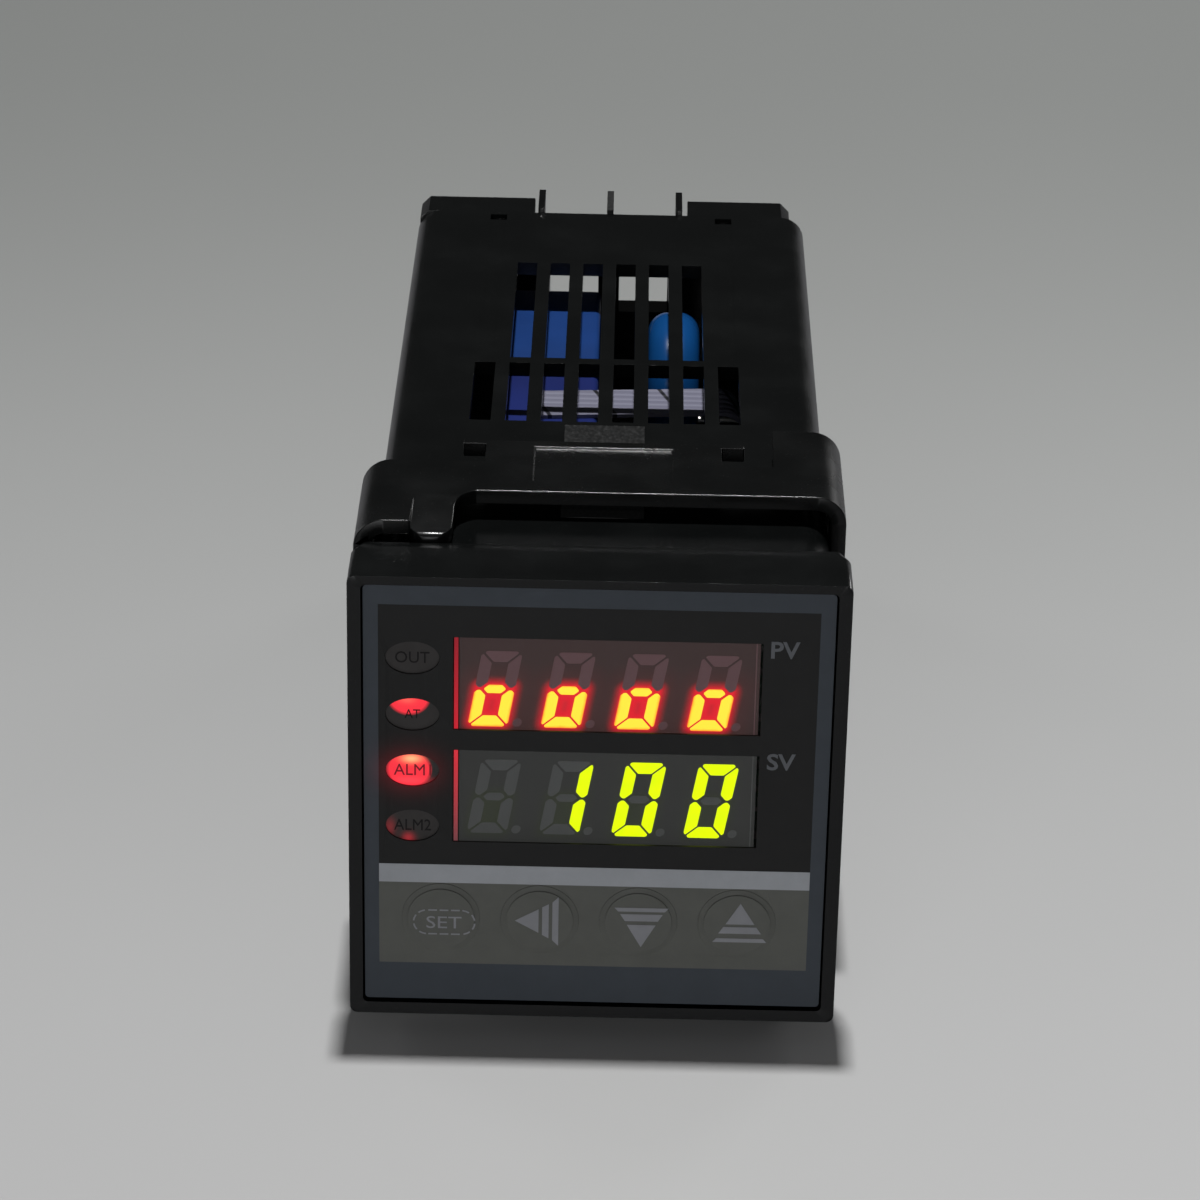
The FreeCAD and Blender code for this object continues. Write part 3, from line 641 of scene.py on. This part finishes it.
def glossy_resin(name, colour, roughness=0.16):
    """Dipped or sealed component case: glossy with slow waves."""
    mat = Finish(name, roughness, bump=0.25, distance=0.08 * MM)
    wave = mat.noise(mat.place, 240.0, 2.0)
    cloud = mat.ramp(mat.noise(mat.place, 90.0, 2.0), 0.3, 0.75)
    return mat.wear(mat.mix(cloud, colour, shade(colour, 0.7)),
                    mat.plus(roughness, mat.times(wave, 0.08)), wave)


def ribbon_finish():
    """White flat cable whose wires run along it, with their black code printed on; its colour is painted
    down to a lavender grey, as painted shade inside the case.
    """
    mat = Finish("Flat cable", roughness=0.42, bump=0.6, distance=0.1 * MM)
    x, y, _ = mat.split(mat.place)
    wires = mat.math("SINE", mat.times(y, 2 * math.pi / WIRE_PITCH))
    slope = mat.plus(x, mat.times(y, 0.35))
    bands = mat.math("SINE", mat.times(slope, 2 * math.pi / CODE_PITCH))
    # the cable's tones are darkened by painted shade inside the case
    white_under_painted_shade = mat.mix(mat.ramp(wires, -1.0, -0.72), (0.155, 0.155, 0.21), (0.18, 0.18, 0.24))
    mark = mat.ramp(bands, 0.975, 0.985)
    return mat.wear(mat.mix(mark, white_under_painted_shade, (0.015, 0.015, 0.02)), height=wires)


def smoked_sheet():
    """Tinted window: a see-through satin sheet."""
    mat = Finish("Smoked window sheet", specular=0.15, bump=0.08)
    mat.surface("Film satin", Colour=(0.016, 0.015, 0.015), Roughness=0.42, Mottle=0.15)
    mat.shader["Alpha"].default_value = 0.24
    return mat


def display_face(name, node, tone, wash, halo, ring):
    """Grey display face with a painted glow: an even wash of light, and a tight halo round the lit ring.
    """
    mat = Finish(name, roughness=0.55, specular=0.2, bump=0.1)
    mat.surface("Film satin", Colour=tone, Roughness=0.55, Mottle=0.2)
    distance = mat.group("Digit ring", **ring)["Distance"]
    near = mat.ramp(distance, 1.55 * MM, 0.45 * MM)
    wide = mat.ramp(distance, 3.2 * MM, 0.0)
    reach = mat.math("ADD", mat.times(near, near, 0.8), mat.times(wide, 0.03), clamp=True)
    front = mat.below(mat.split(mat.place)[1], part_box(node)[0].y + 0.05 * MM)
    # the emission on the front is painted glow: an even wash, and a halo near the lit ring
    return mat.wear(light=mat.mix(front, BLACK, mat.mix(reach, wash, halo)))


def lamp_face(name, x, z, spots):
    """Lamp oval with light from spots (dx, dz, width, height, sharp, colour), in millimetres."""
    mat = Finish(name, roughness=0.4, specular=0.3, bump=0.08)
    mat.surface("Film satin", Colour=(0.046, 0.042, 0.041), Roughness=0.42, Mottle=0.25)
    light = BLACK
    for dx, dz, width, height, sharp, colour in spots:
        spot = mat.group("Glow spot", X=x + dx * MM, Z=z + dz * MM,
                         Width=width * MM, Height=height * MM)["Glow"]
        if sharp:
            spot = mat.ramp(spot, 0.30, 0.44)
        light = mat.mix(spot, light, colour)
    return mat.wear(light=light)


# ---- operators ----
class CONTROLLER_OT_moulded_parts(bpy.types.Operator):
    """Round the moulded edges of the case, bracket and terminal walls and give them black plastic"""
    bl_idname = "controller.moulded_parts"
    bl_label = "Moulded parts"

    def execute(self, context):
        plastic = context.scene.controller_plastic
        edge = plastic.edge_round
        case = case_plastic("Black case plastic", plastic.colour[:])
        bracket = moulded_plastic("Black bracket plastic", shade(plastic.colour, 0.8), roughness=0.26)
        inner = moulded_plastic("Black inner plastic", shade(plastic.colour, 1.2), roughness=0.5)
        soften("housing", "housing_moulding", edge, "case", case)
        soften("mounting_bracket", "bracket_moulding", edge, "bracket", bracket)
        soften("terminal_barriers", "barrier_moulding", edge * 0.7, "case", case)
        soften("terminal_block", "terminal_wall_moulding", edge * 0.7, "case", case,
               reshape=self.raise_windows)
        soften("front_frame", "frame_moulding", edge * 0.5, "front_unit", inner)
        return {"FINISHED"}

    def raise_windows(self, piece):
        """Moves the inner and outer edges of the spare bays' windows to their height."""
        middle = centre("terminal_block")[1]
        for vertex in piece.data.vertices:
            off = vertex.co.z - middle
            if abs(vertex.co.x) < 7.2 * MM and 12.0 * MM < abs(off) < 16.0 * MM:
                edge = WINDOW_EDGES[abs(off) >= 14.0 * MM]
                vertex.co.z = middle + math.copysign(edge, off)


class CONTROLLER_OT_front_film(bpy.types.Operator):
    """Print the front film and its two words"""
    bl_idname = "controller.front_film"
    bl_label = "Front film"

    def execute(self, context):
        label = context.scene.controller_label
        soften("front_overlay", "film_sheet", 0.03 * MM, "front_unit", overlay_film(),
               reshape=self.lower_edge)
        ink = printed_film("Grey lettering ink", label.lettering[:], mottle=0.2)
        for word, drop in (("PV", 6.88 * MM), ("SV", 18.92 * MM)):
            words = lettering("word_" + word.lower(), word, FILM[1].x - 6.07 * MM, FILM[1].z - drop,
                              WORD_SIZE, FILM[0].y, PRINT, bold=0.02)
            dress(words, ink, "front_unit")
        return {"FINISHED"}

    def lower_edge(self, piece):
        """Draws the sheet's lower edge down, close to the lip of its recess."""
        for vertex in piece.data.vertices:
            if vertex.co.z < FILM[0].z + 0.6 * MM:
                vertex.co.z -= SHEET_DROP


class CONTROLLER_OT_keys(bpy.types.Operator):
    """Finish the four embossed keys and print their symbols"""
    bl_idname = "controller.keys"
    bl_label = "Keys"

    def execute(self, context):
        label = context.scene.controller_label
        cap = printed_film("Key cap film", label.strip[:], roughness=0.42)
        ink = printed_film("White symbol ink", label.icons[:], mottle=0.15)
        for key in KEYS:
            node = "key_" + key
            x, z = centre(node)
            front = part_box(node)[0].y
            soften(node, "cap_" + key, 0.07 * MM, node, cap,
                   reshape=lambda piece: self.round_out(piece, x, z, front))
            back = front + 0.02 * MM
            marks = self.set_mark(x, z, back) if key == "set" else self.arrow(key, x, z, back)
            dress(join(marks, "symbol_" + key), ink, node)
        return {"FINISHED"}

    def round_out(self, piece, x, z, front):
        """Widens the cap to the edge of its hole in the film, with a steeper rim."""
        for vertex in piece.data.vertices:
            away = Vector((vertex.co.x - x, 0, vertex.co.z - z))
            depth = vertex.co.y - front
            if 3.0 * MM < away.length < 4.0 * MM and depth < 2.8 * MM:
                rim = away.length > 3.5 * MM
                away *= (CAP_RADIUS if rim else FACE_RADIUS) / away.length
                if rim and depth < 0.5 * MM:
                    depth = 0.2 * MM
                vertex.co = (x + away.x, front + depth, z + away.z)

    def arrow(self, key, x, z, back):
        """Bars that widen away from the arrow's tip."""
        way = -1 if key == "down" else 1
        bars = []
        for start, end, narrow, wide in ARROW_BARS[key]:
            if key == "shift":
                outline = [(start, -narrow), (end, -wide), (end, wide), (start, narrow)]
            else:
                foot, head = way * start, way * end
                outline = [(-narrow, foot), (narrow, foot), (wide, head), (-wide, head)]
            if narrow == 0.0:
                outline = outline[1:]
            places = [(x + (dx + 0.3) * MM, z + dz * MM) for dx, dz in outline]
            bars.append(plate("mark", places, back, MARK))
        return bars

    def set_mark(self, x, z, back):
        """A dashed stadium round the word SET."""
        left, right, radius, inner = -1.62, 1.72, 1.42, 1.26
        dashes = []
        for side in (-1, 1):
            for number in range(3):
                start = left + 0.1 + number * 1.12
                end = start + 0.86
                dashes.append([(start, side * inner), (end, side * inner),
                               (end, side * radius), (start, side * radius)])
        for centre, first in ((right, -90), (left, 90)):
            for number in range(4):
                angles = [math.radians(first + 10 + number * 45 + step * 7.5) for step in range(5)]
                dashes.append(
                    [(centre + radius * math.cos(a), radius * math.sin(a)) for a in angles]
                    + [(centre + inner * math.cos(a), inner * math.sin(a)) for a in reversed(angles)])
        pieces = []
        for outline in dashes:
            places = [(x + (dx + 0.28) * MM, z + (dz - 0.35) * MM) for dx, dz in outline]
            pieces.append(plate("dash", places, back, MARK))
        pieces.append(lettering("set_word", "SET", x - 1.42 * MM, z - 1.05 * MM,
                                (3.45 * MM, 1.35 * MM), back, MARK))
        return pieces


class CONTROLLER_OT_displays(bpy.types.Operator):
    """Build both displays: lit and unlit segments, glow and the smoked window over them"""
    bl_idname = "controller.displays"
    bl_label = "Displays"

    def execute(self, context):
        shown = context.scene.controller_display
        self.display(shown, "pv", shown.process_value)
        self.display(shown, "sv", shown.set_value)
        paint(NODES["display_filter"], smoked_sheet())
        return {"FINISHED"}

    def display(self, shown, name, value):
        looks = DISPLAYS[name]
        node = name + "_display"
        low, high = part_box(node)
        lean = math.tan(shown.slant)
        first = centre(node)[0] - 1.5 * shown.pitch - shown.digit_width / 2 - DIGITS_LEFT
        base = low.z + (high.z - low.z - shown.digit_height) / 2 - looks["drop"]
        ring = {
            "First": first + shown.digit_width / 2, "Base": base, "Pitch": shown.pitch, "Lean": lean,
            "Half width": (shown.digit_width - shown.stroke) / 2,
            "Half height": (shown.digit_height - shown.stroke) / 4,
            "Middle": (shown.digit_height + shown.stroke) / 4,
        }
        lit, dark = [], []
        for place in range(4):
            left = first + place * shown.pitch
            on = SEGMENTS_OF.get(value[place:place + 1], "")
            for letter, outline in self.segments(shown).items():
                slanted = [(left + x + z * lean, base + z) for x, z in outline]
                corner = 0.0 if letter == "p" else 0.09 * MM
                (lit if letter in on else dark).append((slanted, corner))
        title = name.upper()
        tone, light = looks["unlit"]
        # the unlit segments glow faintly: painted glow from the lit digits
        unlit = printed_film(title + " unlit segments", tone, roughness=0.45, light=light)
        if name == "pv":
            halo = shown.halo_colour[:]
            bright = hot_segments("PV lit segments", shown.process_colour[:], halo, ring)
        else:
            halo = SV_HALO
            bright = glowing("SV lit segments", shown.set_colour[:])
        for suffix, outlines, mat, thick in (("_lit_segments", lit, bright, 0.12 * MM),
                                             ("_dark_segments", dark, unlit, 0.04 * MM)):
            parts = [plate("segment", outline, low.y, thick, corner) for outline, corner in outlines]
            dress(join(parts, name + suffix), mat, "front_unit")
        # the face carries a painted glow from the digits
        paint(NODES[node], display_face(title + " display face", node, *looks["face"], halo, ring))
        leak = light_gap(title + " light gap", low.z, high.z, *looks["gap"])
        gap = upright(low.x - 0.5 * MM, 0.4 * MM, low.z, high.z)
        dress(plate(name + "_light_gap", gap, low.y + 0.1 * MM, 0.1 * MM), leak,
              "front_unit")
        line = upright(high.x - 0.42 * MM, 0.11 * MM, low.z, high.z)
        # the edge line wears the unlit segments' film, with its painted glow
        dress(plate(name + "_edge_line", line, low.y, 0.03 * MM), unlit, "front_unit")

    def segments(self, shown):
        """The seven bars and the point of one upright digit, as outlines from its lower left."""
        w, h, t = shown.digit_width, shown.digit_height, shown.stroke
        m = h / 2
        gap, cut, notch = 0.16 * MM, 0.36 * MM, 0.3 * MM
        side = [(0, h - gap - cut), (0, m + gap + notch), (notch, m + gap), (t / 2, m + gap),
                (t, m + t / 2 + gap), (t, h - t - gap), (cut / 2, h - gap - cut / 2)]
        half_top = [(gap + cut, h), (gap + cut / 2, h - cut / 2), (t + gap, h - t)]
        upper = {
            "a": half_top + [(w - x, z) for x, z in reversed(half_top)],
            "f": side,
            "b": [(w - x, z) for x, z in side],
        }
        lower = {letter: [(x, h - z) for x, z in upper[above]]
                 for letter, above in (("d", "a"), ("e", "f"), ("c", "b"))}
        end, arm, rise = t / 2 + 2 * gap, t + gap, t / 2 - gap
        bar = [(end, m), (arm, m - rise), (w - arm, m - rise), (w - end, m),
               (w - arm, m + rise), (arm, m + rise)]
        x, radius = w + 0.85 * MM, 0.45 * MM
        point = [(x + radius * math.cos(a), radius + radius * math.sin(a)) for a in turns(12)]
        return {**upper, **lower, "g": bar, "p": point}


class CONTROLLER_OT_lamps(bpy.types.Operator):
    """Light the lamp ovals and print their names"""
    bl_idname = "controller.lamps"
    bl_label = "Lamps"

    def execute(self, context):
        red = context.scene.controller_display.lamp_colour[:]
        dim, faint = shade(red, 0.30), shade(red, 0.15)
        spots = {
            "out": [],
            "at": [(-0.35, 1.75, 1.95, 1.8, True, red),
                   (-0.5, 1.5, 0.8, 0.4, False, (1.2, 0.10, 0.08))],
            "alm1": [(-0.35, 0.0, 2.1, 1.95, True, red),
                     (-0.1, 1.2, 0.9, 0.45, False, (1.5, 0.50, 0.22)),
                     (-0.3, -1.2, 1.5, 0.4, False, (1.1, 0.045, 0.07))],
            "alm2": [(-0.4, -1.45, 0.55, 0.55, False, dim), (-2.2, -0.3, 0.5, 0.9, False, faint)],
        }
        ink = printed_film("Dark lamp lettering", (0.013, 0.012, 0.012))
        lit_ink = glowing("Lit lamp lettering", (0.13, 0.003, 0.008))
        guide = printed_film("Light guide", (0.20, 0.16, 0.155))
        front = FILTER[0].y
        for lamp, (width, height) in LAMP_WORDS.items():
            paint(NODES["lamp_" + lamp], guide)
            x, z = centre("lamp_" + lamp)
            ring = [(x + OVAL[0] * math.cos(turn), z + OVAL[1] * math.sin(turn)) for turn in turns(56)]
            face = lamp_face("Lamp " + lamp, x, z, spots[lamp])
            dress(plate("oval_" + lamp, ring, front, MARK), face, "front_unit")
            text = lettering("name_" + lamp, lamp.upper(), x - width / 2, z - height / 2,
                             (width, height), front - MARK, PRINT)
            dress(text, lit_ink if lamp == "alm1" else ink, "front_unit")
        return {"FINISHED"}


class CONTROLLER_OT_terminals(bpy.types.Operator):
    """Model the ten screws with their cross recess, and finish the tinned plates"""
    bl_idname = "controller.terminals"
    bl_label = "Terminals"

    def execute(self, context):
        low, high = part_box("terminal_screws")
        half = WASHER / 2
        rows = [low.z + half + (high.z - low.z - WASHER) * step / 4 for step in range(5)]
        master = self.screw(high.y)
        screws = []
        for number, (x, z) in enumerate((x, z) for x in (low.x + half, high.x - half) for z in rows):
            screw = master.copy()
            screw.data = master.data.copy()
            bpy.context.scene.collection.objects.link(screw)
            turn = Matrix.Rotation(math.radians(37 * number % 90), 4, "Y")
            for vertex in screw.data.vertices:
                if vertex.co.y > high.y - HEAD_THICK + 0.01 * MM:
                    vertex.co = turn @ vertex.co
            screw.location = (x, 0, z)
            screws.append(screw)
        bpy.data.objects.remove(master)
        whole = join(screws, "terminal_screw_set")
        smooth(whole, 35)
        dress(whole, metal_finish("Zinc screw steel", (0.62, 0.63, 0.62)), "case")
        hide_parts("terminal_screws")
        paint(NODES["terminal_plates"], metal_finish("Tinned contact plate", (0.66, 0.65, 0.62), 0.25))
        paint(NODES["header_pins"], metal_finish("Tinned pin", (0.70, 0.68, 0.62), 0.25))
        return {"FINISHED"}

    def screw(self, rear):
        """Pan head with a cross recess on a square washer, about the line x = 0, z = 0."""
        cylinder, cube = bpy.ops.mesh.primitive_cylinder_add, bpy.ops.mesh.primitive_cube_add
        along = (math.pi / 2, 0, 0)
        head = solid(cylinder, vertices=32, radius=2.7 * MM, depth=HEAD_THICK,
                     location=(0, rear - HEAD_THICK / 2, 0), rotation=along)
        self.bevel_rear(head, rear)
        for turn in (0, math.pi / 2):
            cutter = solid(cube, size=1, location=(0, rear, 0), rotation=(0, turn, 0),
                           scale=(2.9 * MM, 2.0 * MM, 0.62 * MM))
            apply_modifier(head, "BOOLEAN", object=cutter, operation="DIFFERENCE", solver="EXACT")
            bpy.data.objects.remove(cutter)
        washer = solid(cube, size=1, location=(0, rear - 2.1 * MM, 0), scale=(WASHER, 0.6 * MM, WASHER))
        edit(washer, lambda: bpy.ops.mesh.bevel(offset=0.18 * MM, segments=2))
        shank = solid(cylinder, vertices=20, radius=1.45 * MM, depth=2.9 * MM,
                      location=(0, rear - 3.85 * MM, 0), rotation=along)
        edit(shank, lambda: bpy.ops.mesh.bevel(offset=0.2 * MM, segments=1))
        return join([head, washer, shank], "screw")

    def bevel_rear(self, head, rear):
        """Rounds the rim of the head's rear face."""
        only(head)
        mesh = head.data
        at_rear = [vertex.co.y > rear - 0.01 * MM for vertex in mesh.vertices]
        mesh.vertices.foreach_set("select", at_rear)
        mesh.edges.foreach_set("select", [all(at_rear[i] for i in edge.vertices) for edge in mesh.edges])
        mesh.polygons.foreach_set("select", [False] * len(mesh.polygons))
        bpy.ops.object.mode_set(mode="EDIT")
        bpy.ops.mesh.bevel(offset=0.55 * MM, segments=5)
        bpy.ops.object.mode_set(mode="OBJECT")


class CONTROLLER_OT_electronics(bpy.types.Operator):
    """Finish the boards and components, and model the dipped disc"""
    bl_idname = "controller.electronics"
    bl_label = "Electronics"

    def execute(self, context):
        board = circuit_board_finish()
        black = moulded_plastic("Component black", (0.012, 0.012, 0.013), roughness=0.45)
        finishes = {
            "display_board": board, "power_board": board, "main_board": board,
            # the front relay wears the relay blue made darker and more violet: painted shade inside the
            # case
            "alarm_relay": glossy_resin("Relay case blue in painted shade", (0.012, 0.022, 0.13), 0.3),
            "output_relay": glossy_resin("Relay case blue", (0.010, 0.043, 0.178), 0.3),
            "relay_bases": black, "microcontroller": black,
            "ribbon_cable": ribbon_finish(),
            "transformer_core": moulded_plastic("Pressed ferrite", (0.03, 0.03, 0.032), 0.6, 0.2),
            "transformer_bobbin": glossy_resin("Winding tape", (0.52, 0.34, 0.04), 0.35),
            "input_capacitor": glossy_resin("Capacitor sleeve", (0.012, 0.012, 0.016), 0.3),
            "output_capacitor": glossy_resin("Small capacitor sleeve", (0.02, 0.03, 0.10), 0.3),
            **{"switch_" + key: black for key in KEYS},
        }
        for node, mat in finishes.items():
            paint(NODES[node], mat)
        self.disc()
        return {"FINISHED"}

    def disc(self):
        """The dipped disc: a round cushion on its two wire leads."""
        low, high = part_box("varistor")
        cylinder, across = bpy.ops.mesh.primitive_cylinder_add, (0, math.pi / 2, 0)
        x, y = low.x + DISC_THICK / 2, (low.y + high.y) / 2
        disc = solid(cylinder, vertices=64, radius=DISC_RADIUS, depth=DISC_THICK,
                     location=(x, y, (low.z + high.z) / 2), rotation=across)
        apply_modifier(disc, "BEVEL", width=DISC_ROUND, segments=7, limit_method="ANGLE",
                       angle_limit=math.radians(40))
        leads = []
        for side in (-1, 1):
            lead = solid(cylinder, vertices=14, radius=0.4 * MM, depth=9.0 * MM, rotation=across,
                         location=(x + 5.0 * MM, y + side * 2.95 * MM, low.z + 2.35 * MM))
            edit(lead, lambda: bpy.ops.mesh.bevel(offset=0.08 * MM, segments=1))
            leads.append(lead)
        wire = metal_finish("Tinned lead wire", (0.68, 0.67, 0.64), 0.28)
        dress(join(leads, "disc_leads"), wire, "front_unit")
        disc.name = "dipped_disc"
        smooth(disc, 60)
        dress(disc, glossy_resin("Dipped resin", (0.006, 0.068, 0.235)), "front_unit")
        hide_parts("varistor")


class CONTROLLER_OT_stage(bpy.types.Operator):
    """Set the table top, the lights and the camera"""
    bl_idname = "controller.stage"
    bl_label = "Stage"

    def execute(self, context):
        settings = context.scene.controller_stage
        self.table(settings)
        self.room(context)
        self.lights(context, settings)
        self.camera(context, settings)
        context.scene.view_settings.view_transform = "Standard"
        return {"FINISHED"}

    def table(self, settings):
        """A table top with painted shade that darkens it towards the back and to the left."""
        deselect()
        bpy.ops.mesh.primitive_plane_add(size=6.0)
        floor = bpy.context.object
        floor.name = "table_top"
        mat = Finish("Table top", specular=0.25, bump=0.05)
        x, y, _ = mat.split(mat.place)
        cloud = mat.noise(mat.place, 14.0, 3.0)
        # painted shade: the top darkens towards the back, and in the loop below also to the left; the
        # cloud is a random tone
        painted_back_shade = mat.node("ShaderNodeMapRange", {"Value": y, "From Min": -0.12, "From Max": 0.25},
                           interpolation_type="SMOOTHSTEP").outputs[0]
        near = settings.table[:]
        far_painted_shade = [channel * share for channel, share in zip(near, (0.515, 0.53, 0.515))]
        tone = mat.mix(painted_back_shade, near, far_painted_shade)
        for factor, low, high in ((mat.ramp(cloud, 0.3, 0.8), 1.0, 0.97),
                                  (mat.ramp(x, -0.09, 0.07), 0.92, 1.03)):
            grey = mat.mix(factor, shade(WHITE, low), shade(WHITE, high))
            tone = mat.mix(1.0, tone, grey, "MULTIPLY")
        # the top shows a darker grey in reflections
        mirrored = mat.node("ShaderNodeLightPath").outputs["Is Glossy Ray"]
        paint(floor, mat.wear(mat.mix(mirrored, tone, (0.16, 0.16, 0.165)),
                              mat.plus(0.42, mat.times(cloud, 0.1))))
        floor.rotation_euler = (settings.tilt, 0, 0)
        floor.location = (0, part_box("mounting_bracket")[1].y, -0.1 * MM)

    def room(self, context):
        """Surroundings: pale to the camera, nearly black in reflections."""
        world = bpy.data.worlds.new("Room")
        context.scene.world = world
        world.use_nodes = True
        graph = Graph(world.node_tree)
        background = world.node_tree.nodes["Background"].inputs
        path = graph.node("ShaderNodeLightPath").outputs
        tone = graph.mix(path["Is Glossy Ray"], (0.05, 0.05, 0.052), (0.02, 0.02, 0.02))
        graph.put(graph.mix(path["Is Camera Ray"], tone, (0.40, 0.41, 0.40)), background["Color"])
        background["Strength"].default_value = 1.0

    def lights(self, context, settings):
        for name, place, target, size, share, tone in LIGHTS:
            data = bpy.data.lights.new(name, "AREA")
            data.size = size
            data.energy = settings.key_power * share * 4
            data.color = tone
            lamp = bpy.data.objects.new(name, data)
            context.scene.collection.objects.link(lamp)
            lamp.location = place
            lamp.rotation_euler = (Vector(target) - Vector(place)).to_track_quat("-Z", "Y").to_euler()

    def camera(self, context, settings):
        data = bpy.data.cameras.new("camera")
        data.lens = settings.lens
        data.sensor_width = 36
        data.clip_start = 0.01
        data.dof.use_dof = False
        camera = bpy.data.objects.new("camera", data)
        context.scene.collection.objects.link(camera)
        yaw, pitch, roll = (math.radians(angle) for angle in CAMERA_TURN)
        camera.matrix_world = Matrix.Translation(CAMERA_PLACE)
        for turn, axis in ((-yaw, "Z"), (math.pi / 2 - pitch, "X"), (roll, "Z")):
            camera.matrix_world @= Matrix.Rotation(turn, 4, axis)
        context.scene.camera = camera


# ---- panel and registration ----
class CONTROLLER_PT_looks(bpy.types.Panel):
    """Settings and steps of the controller's looks"""
    bl_idname = "CONTROLLER_PT_looks"
    bl_label = "Controller looks"
    bl_space_type = "VIEW_3D"
    bl_region_type = "UI"
    bl_category = "Controller"

    def draw(self, context):
        layout = self.layout
        for name in SETTINGS:
            settings = getattr(context.scene, name)
            box = layout.box()
            for key in settings.__annotations__:
                box.prop(settings, key)
        for operator in OPERATORS:
            layout.operator(operator.bl_idname)


SETTINGS = {
    "controller_plastic": PlasticSettings,
    "controller_label": LabelSettings,
    "controller_display": DisplaySettings,
    "controller_stage": StageSettings,
}
OPERATORS = (
    CONTROLLER_OT_moulded_parts,
    CONTROLLER_OT_front_film,
    CONTROLLER_OT_keys,
    CONTROLLER_OT_displays,
    CONTROLLER_OT_lamps,
    CONTROLLER_OT_terminals,
    CONTROLLER_OT_electronics,
    CONTROLLER_OT_stage,
)


def register():
    for group_class in SETTINGS.values():
        bpy.utils.register_class(group_class)
    for name, group_class in SETTINGS.items():
        setattr(bpy.types.Scene, name, PointerProperty(type=group_class))
    for operator in OPERATORS:
        bpy.utils.register_class(operator)
    bpy.utils.register_class(CONTROLLER_PT_looks)


def unregister():
    bpy.utils.unregister_class(CONTROLLER_PT_looks)
    for operator in reversed(OPERATORS):
        bpy.utils.unregister_class(operator)
    for name, group_class in SETTINGS.items():
        delattr(bpy.types.Scene, name)
        bpy.utils.unregister_class(group_class)


def main():
    register()
    bpy.ops.controller.moulded_parts()
    bpy.ops.controller.front_film()
    bpy.ops.controller.keys()
    bpy.ops.controller.displays()
    bpy.ops.controller.lamps()
    bpy.ops.controller.terminals()
    bpy.ops.controller.electronics()
    bpy.ops.controller.stage()


if __name__ == "__main__":
    main()
